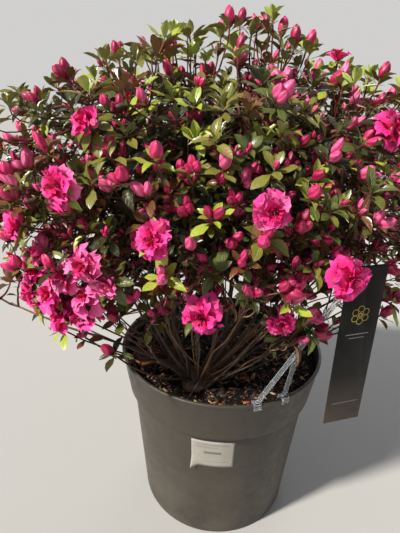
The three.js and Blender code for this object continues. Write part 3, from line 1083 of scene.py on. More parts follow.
@dataclass(frozen=True)
class Crown:
    """The crown's outline and the sizes of its limbs, in millimetres, as in the part's source."""

    middle: Point = (-15, 10, 800)
    side: float = 440
    front: float = 325
    back: float = 375
    up: float = 215
    down: float = 230
    fullness: float = 3
    skirt: float = 590
    top: float = 1117
    leads: tuple[tuple[Point, float, float], ...] = (
        ((75, -10, 310), 100, radians(19)), ((-190, -10, 215), 55, radians(14)),
    )
    soil: float = 405
    stump_neck: float = 17
    stump_height: float = 34
    bough_base: float = 5.2
    bough_apart: float = radians(38)
    stem_base: float = 3.0
    fit: float = 0.35
    twig: float = 2.3
    shortest_twig: float = 45
    tips: int = 112
    tips_apart: float = 62
    other_blooms: int = 9
    bloom_places: Pairs = (
        (-142, -4), (-110, -2), (-128, 8), (-135, 12), (-143, -19), (-136, -28), (-127, -30), (-124, -9),
        (-116, -14), (-97, -26), (-72, -28), (-54, 16), (-81, 10), (-121, 18), (-65, -11), (-58, -16),
    )
    rings: tuple[Ring, ...] = (
        Ring("low", 0.66, -70, -90,
             ("front", "front_right", "right", "back_right", "back", "back_left", "left", "front_left"),
             ("front", "front", "front", "back", "back", "left", "left", "front")),
        Ring("high", 0.46, 95, -90,
             ("front", "right_front", "right_back", "back", "left_back", "left_front"),
             ("front", "front", "back", "back", "left", "front")),
        Ring("crest", 0.17, 185, 0, ("right", "left"), ("back", "left")),
    )
    stools: tuple[tuple[str, float, float], ...] = (("front", -58, -135), ("left", -112, -62), ("back", 6, -48))

    @property
    def centre(self) -> Vec:
        """The crown's middle as a point."""
        return vec(*self.middle)

    def reach_of(self, toward: Vec, lifted: bool = True) -> float:
        """How far the crown reaches from its middle in a direction.

        Args:
            toward: the direction.
            lifted: with the tall leading shoots, or without.

        Returns:
            The distance in millimetres.
        """
        x, y, z = np.abs(toward)
        total = (x / self.side) ** self.fullness
        total += (y / (self.front if toward[1] < 0 else self.back)) ** self.fullness
        total += (z / (self.down if toward[2] < 0 else self.up)) ** self.fullness
        lift = 0.0
        for lead, rise, spread in self.leads if lifted else ():
            off = np.arccos(np.clip(toward @ unit(vec(*lead)), -1, 1)) / spread
            lift += rise * exp(-off * off)
        return total ** (-1 / self.fullness) + lift

    def foot(self, stool: str) -> Vec:
        """Where a stump of the stool stands."""
        return next(vec(x, y, self.soil) for name, x, y in self.stools if name == stool)


@dataclass
class Growth:
    """Grows the plant's limbs: the source's boughs, stems and twigs first, then finer twigs from them."""

    crown: Crown = field(default_factory=Crown)
    tag_hang: Point = (209, -262, 725)
    tag_length: float = 312
    tag_half: float = 37
    clips: Points = ((120, -205, 430), (62, -228, 430))
    fine_places: int = 4200
    fine_apart: float = 26
    # How many dark leaf places fill the inside as painted shade, and how far apart.
    shade_fill_places: int = 2600
    shade_fill_apart: float = 19
    leads: int = 150
    leads_apart: float = 31
    lead_line: Pairs = (
        (-440, 925), (-395, 991), (-333, 985), (-255, 1030), (-203, 1070), (-91, 1101), (-18, 1111), (54, 1114),
        (114, 1079), (158, 1050), (238, 1032), (300, 985), (420, 925),
    )
    cluster: Points = (
        (-330, -222, 694), (-300, -250, 664), (-268, -262, 700), (-236, -272, 668), (-330, -216, 634),
        (-286, -246, 622), (-352, -196, 656), (-206, -284, 690), (-246, -254, 632),
    )
    sprawl: Points = (
        (-318, -190, 560), (-372, -120, 572), (-262, -226, 566), (-206, -250, 548), (-410, -60, 600), (-340, 40, 570),
        (300, -150, 590), (346, -40, 600), (290, 120, 575), (170, 250, 570), (20, 300, 585),
        (-150, 270, 572), (-290, 180, 580), (372, 40, 640),
    )
    bare: Points = (
        (150, -262, 742), (88, -276, 700), (290, -176, 640), (286, -196, 726), (138, -262, 606), (-60, -286, 652),
        (-128, -272, 690), (-196, -250, 620), (20, -290, 690), (120, -272, 636), (-250, -216, 640),
    )
    masses: list[Mass] = field(default_factory=list)
    companions: list[tuple[Line, float]] = field(default_factory=list)

    def names(self, kind: str) -> list[str]:
        """The CAD nodes of a kind, one for each mass."""
        return [f"{kind}_{mass.name}" for mass in self.masses]

    def twigs(self) -> Iterator[Twig]:
        """Every twig, mass by mass."""
        return (twig for mass in self.masses for twig in mass.twigs)

    def grow(self) -> None:
        """Grows everything in the source's order."""
        self.lay_out()
        self.grow_boughs()
        self.share_tips()
        self.note_obstacles()
        for mass in self.masses:
            self.grow_twigs(mass)
        LOG.info("source's twigs: %d", len(list(self.twigs())))
        self.grow_companions()
        self.grow_sprawl()
        self.grow_bare()
        self.grow_fine()
        LOG.info("twigs in all: %d", len(list(self.twigs())))

    def lay_out(self) -> None:
        """Places the masses in two rings and a crest, and the one at the end of the low side branch."""
        crown = self.crown
        for ring in crown.rings:
            for k, (side, stool) in enumerate(zip(ring.sides, ring.stools)):
                angle = radians(ring.start + 360 * k / len(ring.sides))
                deep = crown.front if sin(angle) < 0 else crown.back
                offset = vec(crown.side * ring.reach * cos(angle), deep * ring.reach * sin(angle), ring.rise)
                self.masses.append(Mass(f"{ring.tier}_{side}", stool, crown.centre + offset))
        shoots = ((172, 26), (-128, 14), (112, 30), (-10, 62))
        self.masses.append(Mass("side_left", "front", vec(-428, -150, 592), 0.5, 0.22, 0.6, 0.0, shoots))
        self.middles = np.array([mass.middle for mass in self.masses])

    def start_bearings(self, foot: Vec, mine: list[Mass]) -> list[tuple[Mass, float]]:
        """Spreads the boughs of one stump round it, each near its own bearing and none too close to the next.

        Args:
            foot: the stump's foot.
            mine: the masses that it feeds.

        Returns:
            Each mass with its bearing.
        """
        rows = sorted(([atan2(m.middle[1] - foot[1], m.middle[0] - foot[0]), m] for m in mine), key=lambda r: r[0])
        apart = min(self.crown.bough_apart, tau / len(rows))
        for _ in range(60):
            for k, row in enumerate(rows):
                following = rows[(k + 1) % len(rows)]
                wrap = tau if k + 1 == len(rows) else 0
                short = apart - (following[0] + wrap - row[0])
                if short > 0:
                    row[0] -= short / 2
                    following[0] += short / 2
        return [(mass, bearing) for bearing, mass in rows]

    def grow_boughs(self) -> None:
        """Grows one bough and one stem to each mass: the steepest rises straight, the others spread round it."""
        crown = self.crown
        for name, _, _ in crown.stools:
            foot = crown.foot(name)
            mine = [mass for mass in self.masses if mass.stool == name]
            leader = max(mine, key=lambda m: (m.middle[2] - foot[2]) / hypot(*(m.middle - foot)[:2]))
            start = foot + vec(0, 0, crown.stump_height - 8)
            lead = start + (leader.middle - start) * leader.reach
            leader.bough = Line(start, start + vec(0, 0, np.linalg.norm(lead - start) * 0.45), lead)
            for mass, bearing in self.start_bearings(foot, [m for m in mine if m is not leader]):
                out = around(bearing)
                base = foot + out * (crown.stump_neck - 6) + vec(0, 0, crown.stump_height * 0.5)
                tip = base + (mass.middle - base) * mass.reach
                length = np.linalg.norm(tip - base)
                mass.bough = Line(base, base + out * length * mass.knee_out + UP * length * mass.knee_up, tip)
        for mass in self.masses:
            way = mass.bough.way(1.0)
            start = mass.bough.end + way * crown.fit
            end = mass.middle + (crown.centre - mass.middle) * -mass.overshoot
            mass.stem = Line(start, start + way * np.linalg.norm(end - start) * 0.5, end)

    def nearest_wall(self, mass: Mass, points: Vec) -> tuple[Vec, Vec]:
        """How deep points lie in a mass's own space, and which way is inward from its nearest wall.

        Args:
            mass: the mass.
            points: rows of points.

        Returns:
            The depth of each point and its inward direction.
        """
        others = self.middles[[m is not mass for m in self.masses]]
        inward = unit(mass.middle - others)
        depth = ((points[:, None] - (mass.middle + others) / 2) * inward).sum(-1)
        return depth.min(1), inward[depth.argmin(1)]

    def share_tips(self) -> None:
        """Places the source's twig tips, and gives each to the mass whose middle is nearest."""
        crown = self.crown
        places = [(Tip(turned(*place), None, True, sure=True), 1.0) for place in crown.bloom_places]
        for k in range(crown.tips):
            tip = Tip(spiral(k, crown.tips), None, k % crown.other_blooms == 4)
            places.append((tip, 0.84 + 0.14 * seeded(k)))
        kept: list[Tip] = []
        for tip, depth in places:
            tip.point = crown.centre + tip.toward * crown.reach_of(tip.toward) * depth
            lonely = all(np.linalg.norm(other.point - tip.point) > crown.tips_apart for other in kept)
            if tip.point[2] > crown.skirt and lonely:
                kept.append(tip)
        side = self.masses[-1]
        for place in side.shoots:
            side.tips.append(Tip(turned(*place), side.middle + turned(*place) * 54))
        for tip in kept:
            mass = self.nearest(tip.point)
            ahead, needed = (24, 37) if tip.bloom else (11, 14)
            for _ in range(6):
                depth, inward = self.nearest_wall(mass, (tip.point + tip.toward * ahead)[None])
                if depth[0] < needed:
                    tip.point = tip.point + inward[0] * (needed - depth[0])
            mass.tips.append(tip)

    def nearest(self, point: Vec) -> Mass:
        """The mass whose middle is nearest to a point."""
        return self.masses[int(np.linalg.norm(self.middles - point, axis=1).argmin())]

    def add_fine(self, line: Line, toward: Vec, order: int = 3, base: float = 1.2, end: float = 1.0) -> None:
        """Gives a fine twig to the mass that its end lies in."""
        self.nearest(line.end).twigs.append(Twig(line, Tip(toward, line.end), order, base, end, fine=True))

    def note_obstacles(self) -> None:
        """Lists the limbs and fittings that foliage stays clear of."""
        hang = vec(*self.tag_hang)
        self.fittings = [(hang, hang - vec(0, 0, self.tag_length), self.tag_half + 12.0)]
        self.fittings += [(vec(*clip), hang, 9.0) for clip in self.clips]
        self.bough_runs = [run for mass in self.masses for run in runs_of(mass.bough, 8, self.crown.bough_base)]

    @staticmethod
    def clearance(points: Vec, runs: Sequence[Run]) -> Vec:
        """How far each point is from the nearest of some stretches.

        Args:
            points: rows of points.
            runs: start, end and radius of each stretch.

        Returns:
            The distance for each point.
        """
        starts, ends, radii = (np.array(column) for column in zip(*runs))
        along, off = ends - starts, points[:, None] - starts
        share = np.clip((off * along).sum(-1) / (along**2).sum(-1), 0, 1)
        return (np.linalg.norm(off - share[..., None] * along, axis=-1) - radii).min(1)

    def grow_twigs(self, mass: Mass) -> None:
        """Grows the source's twigs of one mass.

        Args:
            mass: the mass.
        """
        stems = [run for m in self.masses if m is not mass for run in runs_of(m.stem, 4, self.crown.stem_base)]
        runs = self.bough_runs + self.fittings + stems

        def fits(points: Vec, radius: float) -> bool:
            """Whether points of a radius lie in the mass's space and clear of everything."""
            depth, _ = self.nearest_wall(mass, points)
            return bool((depth > radius + 0.6).all() and (self.clearance(points, runs) > radius + 1).all())

        mass.tips.sort(key=lambda tip: np.linalg.norm(tip.point - mass.middle))
        for tip in mass.tips:
            if twig := self.reach_tip(mass, tip, fits):
                mass.twigs.append(twig)

    def reach_tip(self, mass: Mass, tip: Tip, fits: Callable[[Vec, float], bool]) -> Twig | None:
        """A twig to one tip from the nearest place on the stem or halfway along an earlier twig.

        Args:
            mass: the mass that the tip belongs to.
            tip: where the twig ends.
            fits: tells whether points of a radius have room.

        Returns:
            The twig, or None where nothing reaches the tip.
        """
        outward, thick = unit(tip.toward * vec(1, 1, 0.5) + vec(0, 0, 0.55)), self.crown.twig
        starts = [(mass.stem.at(share), 1) for share in (0.3, 0.45, 0.6, 0.75, 0.9)]
        starts += [(twig.line.at(0.5), twig.order + 1) for twig in mass.twigs if twig.order < 3]

        def strain(row: tuple[Vec, int]) -> float:
            """Long runs, and runs that turn back, are hard."""
            run = tip.point - row[0]
            return float(np.linalg.norm(run) * (1.6 - unit(run) @ tip.toward))

        for start, order in sorted(starts, key=strain):
            reach = np.linalg.norm(tip.point - start)
            for bend in (0.4, 0.22, 0.05) if reach >= self.crown.shortest_twig else ():
                line = Line(start, tip.point - outward * reach * bend, tip.point)
                ahead = tip.point + unit(tip.point - line.at(0.5)) * np.array([[11.0], [30.0]])
                if fits(line.at(np.arange(1, 7) / 6), thick) and fits(ahead[:1], 8.5) and fits(ahead[1:], 1):
                    return Twig(line, tip, order, thick, 1.5)
        return None

    def grow_companions(self) -> None:
        """Grows slender stems that leave the soil round the stool, cross each other and fork on their way up."""
        rng = np.random.default_rng(7)
        for mass in self.masses[:-1]:
            foot = self.crown.foot(mass.stool)
            for _ in range(1 if mass.middle[1] < 0 else 2):
                out = around(atan2(*(mass.middle - foot)[[1, 0]]) + rng.uniform(-1.1, 1.1))
                spot = around(rng.uniform(0, tau))
                base = foot + spot * rng.choice([rng.uniform(8, 24), rng.uniform(24, 60)]) + vec(0, 0, -2)
                tip = mass.stem.at(rng.uniform(0.3, 1.0)) + rng.normal(0, 34, 3)
                knee = self.bowed(rng, base, tip, out, (-0.06, 0.14), (-0.04, 0.12))
                line = Line(base, knee + rng.normal(0, 14, 3), tip)
                self.companions.append((line, rng.uniform(1.3, 2.4)))
                for _ in range(int(rng.integers(1, 4))):
                    start, end = line.at(rng.uniform(0.4, 0.75)), tip + rng.normal(0, 52, 3)
                    self.companions.append((Line(start, (start + end) / 2 + rng.normal(0, 12, 3), end), 1.1))

    @staticmethod
    def bowed(
        rng: np.random.Generator, base: Vec, tip: Vec, out: Vec, aside: Sequence[float], sag: Sequence[float]
    ) -> Vec:
        """The knee of a stem that bows outwards and sags between its ends.

        Args:
            rng: the stream of random numbers.
            base: where it leaves the soil.
            tip: where it ends.
            out: which way is outwards.
            aside: least and most that it bows, as a share of its length.
            sag: least and most that it sags.

        Returns:
            The knee.
        """
        length = np.linalg.norm(tip - base)
        return (base + tip) / 2 + out * length * rng.uniform(*aside) - UP * length * rng.uniform(*sag)

    def grow_bare(self) -> None:
        """Grows long bare stems from the soil up the open front of the crown."""
        rng = np.random.default_rng(29)
        foot = self.crown.foot("front")
        for place in self.bare:
            tip = vec(*place)
            out = unit((tip - foot) * vec(1, 1, 0))
            base = foot + out * rng.uniform(6, 26) + vec(0, 0, -2)
            line = Line(base, self.bowed(rng, base, tip, out, (-0.02, 0.09), (-0.01, 0.08)), tip)
            self.companions.append((line, rng.uniform(1.7, 2.3)))
            for share in rng.uniform(0.45, 0.85, 2):
                start = line.at(share)
                end = start + (tip - start) * 0.4 + rng.normal(0, 1, 3) * vec(46, 14, 22) + UP * 46
                fork = Line(start, start + line.way(share) * 30, end)
                self.companions.append((fork, 1.2))
                self.add_fine(fork, unit(end - foot))
            self.add_fine(Line(line.at(0.8), line.at(0.9), tip), unit(tip - foot))

    def hem(self, point: Vec) -> float:
        """How low the foliage hangs: it is lifted at the front, where the bare stems show."""
        return self.crown.skirt + 78 * ramp(-point[1] - 40, 150) * exp(-(((point[0] - 10) / 190) ** 2))

    def grow_sprawl(self) -> None:
        """Grows the low outer branches straight from the stool."""
        feet = [self.crown.foot(name) for name, _, _ in self.crown.stools]
        for place in self.sprawl:
            point = vec(*place)
            foot = min(feet, key=lambda f: np.linalg.norm(point - f))
            out = unit((point - foot) * vec(1, 1, 0))
            base = foot + out * 11 + vec(0, 0, 14)
            length = np.linalg.norm(point - base)
            line = Line(base, base + out * length * 0.5 + UP * length * 0.16, point)
            self.add_fine(line, unit(point - foot), 2, 2.5, 1.4)

    def lead_tips(self, rng: np.random.Generator) -> list[Tip]:
        """Places the leading shoots along the crown's top.

        Args:
            rng: the stream of random numbers.

        Returns:
            Their tips.
        """
        tips: list[Tip] = []
        for _ in range(self.leads):
            x, y = rng.uniform(-420, 405), rng.normal(-15, 115)
            top = np.interp(x, *zip(*self.lead_line)) - abs(rng.normal(0, 42)) - (y / 240) ** 2 * 60
            off = vec(x, y, top) - self.crown.centre
            above = np.linalg.norm(off) > self.crown.reach_of(unit(off), False) - 4
            if above and all(np.linalg.norm(t.point - vec(x, y, top)) > self.leads_apart for t in tips):
                tips.append(Tip(unit(vec(x * 0.2, y * 0.2, top - 620)), vec(x, y, top), lead=True))
        return tips

    def fine_tips(self) -> list[Tip]:
        """Places where finer twigs end: the leading shoots and listed blooms, the shell, and then the inside, whose
        dark leaves are painted shade.

        Returns:
            Their tips.
        """
        crown, rng = self.crown, np.random.default_rng(11)
        tips = self.lead_tips(rng)
        tips += [Tip(unit(vec(x - 50, y - 60, 170)), vec(x, y, z), True, sure=True) for x, y, z in self.cluster]
        shell: list[Tip] = []
        for k in rng.permutation(self.fine_places):
            toward = spiral(k, self.fine_places)
            depth = 1 - 0.42 * rng.random() ** 1.5
            reach = crown.reach_of(toward, rng.random() < 0.14) * depth
            point = crown.centre + toward * reach + rng.normal(0, 6, 3)
            if point[2] > self.hem(point) + rng.uniform(-26, 34):
                shell.append(Tip(toward, point))
        near = np.array([tip.point for mass in self.masses for tip in mass.tips] + [tip.point for tip in tips])
        for tip in shell:
            x, y, z = tip.point
            loose = 13 * ramp(z - 850, 90) + 26 * ramp(-y - 60, 90) * ramp(850 - z, 130) * (x > -190)
            if np.linalg.norm(near - tip.point, axis=1).min() > self.fine_apart + loose:
                if self.clearance(tip.point[None], self.fittings)[0] > 22:
                    near = np.vstack([near, tip.point])
                    tips.append(tip)
        # Painted shade: dark leaves fill the inside of the crown to stand in for the shade between the outer rosettes.
        for k in range(self.shade_fill_places):
            toward = spiral(k, self.shade_fill_places)
            point = crown.centre + toward * crown.reach_of(toward, False) * rng.uniform(0.2, 0.7)
            low = point[2] <= self.hem(point) + 30 + 60 * (point[1] < -60)
            if not low and np.linalg.norm(near - point, axis=1).min() > self.shade_fill_apart:
                near = np.vstack([near, point])
                tips.append(Tip(toward, point, inner=True))
        return tips

    def grow_fine(self) -> None:
        """Grows a finer twig to each fine place, from the limb or twig that reaches it with the least strain."""
        rng = np.random.default_rng(23)
        rows: dict[str, list[tuple[Vec, int]]] = {}
        for mass in self.masses:
            rows[mass.name] = [(mass.stem.at(share), 1) for share in (0.15, 0.3, 0.45, 0.6, 0.75, 0.9, 1.0)]
            for twig in mass.twigs:
                outer = twig.order == 2 and twig.fine
                shares = (0.62, 0.74, 0.86, 0.94) if outer else (0.3, 0.5, 0.7, 0.86)
                rows[mass.name] += [(twig.line.at(share), twig.order + 1) for share in shares]
        tips = self.fine_tips()
        tips.sort(key=lambda t: -1.0 if t.lead else np.linalg.norm(t.point - self.nearest(t.point).middle))
        for tip in tips:
            mass = self.nearest(tip.point)
            starts, orders = (np.array(column) for column in zip(*rows[mass.name]))
            run = tip.point - starts
            reach = np.linalg.norm(run, axis=1)
            strain = reach * (1.6 - (unit(run) @ tip.toward).clip(-1, 1)) + orders * 4
            strain[reach < (120 if tip.lead else 34)] = inf
            best = int(strain.argmin())
            if strain[best] == inf:
                continue
            outward = unit(tip.toward * vec(0.8, 0.8, 0.4) + vec(0, 0, 0.95) + rng.normal(0, 0.14, 3))
            line = Line(starts[best], tip.point - outward * reach[best] * rng.uniform(0.25, 0.45), tip.point)
            order = int(orders[best])
            base = max(1.15, 2.1 - 0.22 * order)
            mass.twigs.append(Twig(line, tip, order, base, base * 0.72, fine=True))
            if order < 6:
                rows[mass.name] += [(line.at(share), order + 1) for share in (0.4, 0.65, 0.85)]


# Limbs


@dataclass
class Tube:
    """A limb template: a ring drawn up into a wall of unit length, to be laid along lines."""

    sides: int
    steps: int

    def __post_init__(self) -> None:
        """Models the template once."""
        model = Model("tube").ring(self.sides, 1.0)
        with model.editing():
            for k in range(self.steps):
                model.pick(lambda co: co.z > (k - 0.5) / self.steps)
                extrude(1 / self.steps)
            model.pick(lambda co: co.z > 1 - 0.5 / self.steps)
            bpy.ops.mesh.edge_face_add()
        self.shape = model.outward().template()
        points = self.shape.points
        self.ring_of = np.rint(points[:, 2] * self.steps).astype(int)
        self.angle = np.arctan2(points[:, 1], points[:, 0])
        self.turn = self.shape.turns()

    def lay(self, gathered: Gathered, path: Vec, radii: Vec, relief: Callable[[Vec, Vec], Vec] | None = None) -> None:
        """Lays a tube along a path.

        Args:
            gathered: the piece it joins.
            path: steps + 1 points in millimetres.
            radii: a radius at each of them.
            relief: gives a factor of the radius from the angle and the share along.
        """
        ways = unit(np.gradient(path, axis=0))
        sides = np.empty_like(ways)
        side = any_side(ways[0])
        for k, way in enumerate(ways):
            sides[k] = side = across(way, side)
        ring, angle = self.ring_of, self.angle
        radius = radii[ring] * (relief(angle, ring / self.steps) if relief else 1)
        spokes = sides[ring] * (radius * np.cos(angle))[:, None]
        points = path[ring] + spokes + np.cross(ways, sides)[ring] * (radius * np.sin(angle))[:, None]
        runs = np.concatenate([[0], np.cumsum(np.linalg.norm(np.diff(path, axis=0), axis=1))]) * MM
        uv = np.stack([self.turn, runs[ring[self.shape.corners]]], axis=1)
        gathered.add(self.shape, points[None] * MM, uv)


def wander(rng: np.random.Generator, path: Vec, amount: float) -> Vec:
    """Lets a path stray a little between its ends.

    Args:
        rng: the stream of random numbers.
        path: the points.
        amount: how far it strays, in millimetres.

    Returns:
        The path, its ends unmoved.
    """
    share = np.linspace(0, 1, len(path))[:, None]
    waves = sum(
        np.sin(share * pi * rng.uniform(1.5, 2.2) * k + rng.uniform(0, tau, 3)) * rng.normal(0, 1, 3) / k
        for k in (1, 2, 3)
    )
    return path + np.sin(share * pi) * waves * amount


def taper(share: Vec, base: float, end: float, flare: float = 0.0) -> Vec:
    """Radii along a limb from its base to its end, with a short flare at its root."""
    return base + (end - base) * share + flare * np.exp(-share * 30)


def knot(share: Vec, place: float, width: float) -> Vec:
    """A swelling round one place of a limb."""
    return np.exp(-(((share - place) / width) ** 2))


@dataclass
class Wood:
    """The woody parts: stool, boughs, slender stems and twigs. Radii of limbs are in millimetres."""

    growth: Growth
    voxel: float = 0.0021
    bough_taper: Point = (3.1, 2.3, 3.6)
    stem_taper: tuple[float, float] = (2.4, 1.5)
    young_share: float = 0.35
    stump: Pairs = (
        (0.035, 0.002), (0.027, 0.007), (0.021, 0.013), (0.0178, 0.02), (0.0172, 0.026),
        (0.0155, 0.031), (0.011, 0.0345), (0.002, 0.0355),
    )
    old: Bark = Bark("Old bark", "6e5440", "3e3025", "a08a6e", 0.0022)
    stem: Bark = Bark("Stem bark", "9a7050", "5a3f2c", "c4a488")
    grey: Bark = Bark("Grey stem bark", "5a4a3d", "362b24", "8c7c69")
    brown: Bark = Bark("Twig bark", "5e3a2a", "3a2620", "8c6c55", 0.0007)
    red: Bark = Bark("Young twig bark", "743222", "48241c", "9c664c", 0.0005)

    def build(self) -> None:
        """Builds and dresses every woody piece."""
        self.build_stool()
        self.build_boughs()
        self.build_companions()
        self.build_twigs()

    def build_stump(self, k: int, foot: Vec) -> Object:
        """One gnarled stump on its root flare.

        Args:
            k: which stump.
            foot: where it stands, in metres.

        Returns:
            Its object.
        """
        def swollen(points: Vec) -> Vec:
            """Folds the trunk's sides, and moves it to its foot.

            Args:
                points: the points of a round stump at the origin.

            Returns:
                The points, moved.
            """
            angle = np.arctan2(points[:, 1], points[:, 0])
            swell = 1 + 0.13 * np.cos(3 * angle + k) + 0.05 * np.cos(7 * angle + 2 * k)
            return points * np.stack([swell, swell, np.ones_like(swell)], axis=1) + foot

        stump = Model("stump").ring(14, 0.038, (0, 0, -0.006), filled=True)
        return stump.draw_up(self.stump).remap(swollen).shape

    def build_stool(self) -> None:
        """Three stumps, joined along the ground, as one remeshed body."""
        crown = self.growth.crown
        feet = [crown.foot(name) * MM for name, _, _ in crown.stools]
        ties, tube = Gathered(), Tube(10, 12)
        for foot, bow in ((feet[1], -8), (feet[2], 8)):
            a, b = feet[0] / MM + vec(0, 0, 4), foot / MM + vec(0, 0, 4)
            line = Line(a, (a + b) / 2 + vec(bow, 0, 3), b)
            tube.lay(ties, line.at(np.linspace(0, 1, 13)), np.linspace(14, 12, 13))
        stumps = [self.build_stump(k, foot) for k, foot in enumerate(feet)]
        stool = Model("stool_bark", *stumps, ties.piece("ties"))
        stool.modify("REMESH", mode="VOXEL", voxel_size=self.voxel)
        stool.crumble(0.011, 3, strength=0.0034, mid_level=0.5, texture_coords="LOCAL")
        with stool.editing():
            select_all()
            ground = (0, 0, crown.soil * MM + 0.0008)
            bpy.ops.mesh.bisect(plane_co=ground, plane_no=(0, 0, 1), clear_inner=True, use_fill=True)
        mesh = stool.smooth(60).shape.data
        layer = mesh.uv_layers.new(name="UVMap")
        for loop in mesh.loops:
            co = mesh.vertices[loop.vertex_index].co
            layer.uv[loop.index].vector = (atan2(co.y + 0.08, co.x + 0.05) / tau, co.z)
        dress(stool.shape, self.old, "bark", "stool")

    def build_boughs(self) -> None:
        """One tapering bough to each mass, with knots, ridges and bark relief."""
        rng = np.random.default_rng(3)
        tube, gathered = Tube(12, 44), Gathered()
        share = np.linspace(0, 1, 45)
        for mass in self.growth.masses:
            path = wander(rng, mass.bough.at(share), 0.9)
            radii = taper(share, *self.bough_taper)
            for _ in range(4):
                radii += rng.uniform(0.3, 0.7) * knot(share, rng.uniform(0.12, 0.95), 0.018)
            lobes, phase = rng.integers(2, 4), rng.uniform(0, tau)

            def relief(angle: Vec, along: Vec) -> Vec:
                """Slow lobes that wind round the limb, and ridges of bark."""
                slow = 0.055 * np.cos(lobes * angle + phase + 5 * along)
                return 1 + slow + 0.035 * np.sin(5 * angle - 13 * along + phase) * np.cos(31 * along + 2 * angle)

            tube.lay(gathered, path, radii, relief)
        dress(gathered.piece("boughs_bark"), self.old, "bark", *self.growth.names("bough"))

    def build_companions(self) -> None:
        """The slender stems that rise among the boughs, and the stem that carries each mass on."""
        rng = np.random.default_rng(5)
        tan, grey, tube = Gathered(), Gathered(), Tube(6, 20)
        share = np.linspace(0, 1, 21)
        for line, base in self.growth.companions:
            radii = taper(share, base, 1.0, 0.6)
            for _ in range(2):
                radii += 0.4 * knot(share, rng.uniform(0.1, 0.9), 0.035)
            tube.lay(grey if rng.random() < 0.5 else tan, wander(rng, line.at(share), 4.5), radii)
        for mass in self.growth.masses:
            tube.lay(tan, wander(rng, mass.stem.at(share), 1.2), taper(share, *self.stem_taper))
        dress(tan.piece("stems_tan"), self.stem, "bark")
        dress(grey.piece("stems_grey"), self.grey, "bark")

    def build_twigs(self) -> None:
        """Every twig, brown where it is old and red where it is young."""
        rng = np.random.default_rng(9)
        brown, red, tube = Gathered(), Gathered(), Tube(5, 5)
        share = np.linspace(0, 1, 6)
        for twig in self.growth.twigs():
            path = wander(rng, twig.line.at(share), 1.6)
            radii = taper(share, twig.base, twig.end)
            radii[-2:] *= (1.05, 1.25)
            young = twig.tip.lead or twig.order > 3 or rng.random() < self.young_share
            tube.lay(red if young else brown, path, radii)
        dress(brown.piece("twigs_brown"), self.brown, "bark", *self.growth.names("foliage"))
        dress(red.piece("twigs_red"), self.red, "bark")


# Leaves, buds and blooms


class Tint(Enum):
    """The tints that leaves are dealt, a rosette at a time."""

    # The last colour of each, beneath, is partly painted light shining through the leaf.
    MID = LeafSkin("Leaf green", "525e22", "453f17", "909648", "9aa064", 0.28)
    DARK = LeafSkin("Leaf dark green", "343a18", "2e2410", "646a38", "7c804e", 0.25)
    OLIVE = LeafSkin("Leaf olive", "767828", "665020", "a4a450", "a2a460", 0.29)
    LIME = LeafSkin("Leaf fresh green", "9caa34", "88902a", "c8d06c", "bcc870", 0.3)
    BRONZE = LeafSkin("Leaf bronze", "6e4422", "4c2e18", "9a7040", "96744c", 0.27)
    FLAME = LeafSkin("Leaf flame", "b84a22", "843c1e", "d08048", "a06040", 0.3)


class Petal(Enum):
    """The tints of petals and buds."""

    # Each petal's second colour, its edge, is partly painted highlight.
    BRIGHT = PetalSkin("Petal bright pink", "f20870", "ff54ae", "b80634")
    PALE = PetalSkin("Petal light pink", "f42e88", "ff86c0", "c60e50")
    DEEP = PetalSkin("Petal deep pink", "d40652", "f0207a", "90041e")
    # Each bud's second colour is a painted highlight and its third a painted shade.
    ROSE = BudSkin("Bud rose", "cc1058", "f0508e", "7e0a2c")
    BLUSH = BudSkin("Bud light pink", "de3c7c", "fa88b4", "9a1440")
    WINE = BudSkin("Bud wine", "980c3c", "c82a64", "54081c")


class End(Enum):
    """What a twig's end bears: leaves alone, or with buds, an open bloom or one that is half open."""

    LEAF = "leaf"
    BUD = "bud"
    BLOOM = "bloom"
    HALF = "half"


def dealt(rng: np.random.Generator, weights: dict[Tint | Petal | int, float]) -> Tint | Petal | int:
    """One of several choices, drawn by their weights."""
    share = np.array(list(weights.values()))
    return list(weights)[int(rng.choice(len(share), p=share / share.sum()))]


@dataclass(frozen=True)
class Blade:
    """How one form of leaf is modelled: unit length, folded along its midrib and bent down to its tip."""

    fold: float
    droop: float
    curl: float
    wave: float
    rows: Pairs = ((0.0, 0.05), (0.14, 0.1), (0.36, 0.76), (0.6, 1.0), (0.84, 0.68), (1.0, 0.04))

    def shape(self, points: Vec) -> Vec:
        """Raises the edges from the midrib, and waves and curls them.

        Args:
            points: the flat leaf's points.

        Returns:
            The same points, moved.
        """
        reach = np.abs(points[:, 0])
        points[:, 2] += self.fold * reach + self.wave * reach * np.sin(points[:, 1] * 9 + 3 * points[:, 0])
        points[:, 2] -= self.curl * (reach * 2) ** 2 * 0.1
        return points

    def model(self) -> Template:
        """Models the leaf from a grid, a row at a time. Each row waits high above until all are done.

        Returns:
            Its template, a unit long and a unit across.
        """
        steps = len(self.rows) - 1
        leaf = Model("leaf").grid(2, steps, 1.0, 1.0)
        with leaf.editing():
            for k, (along, wide) in reversed(list(enumerate(self.rows))):
                leaf.pick(lambda co, k=k: abs(co.y - k / steps) < 0.02 and co.z < 5)
                scale(wide, 1, 1)
                shift(0, along - k / steps, 10 - self.droop * max(0.0, along - 0.25) ** 2)
            select_all()
            shift(0, 0, -10)
        return leaf.template().bent(self.shape)


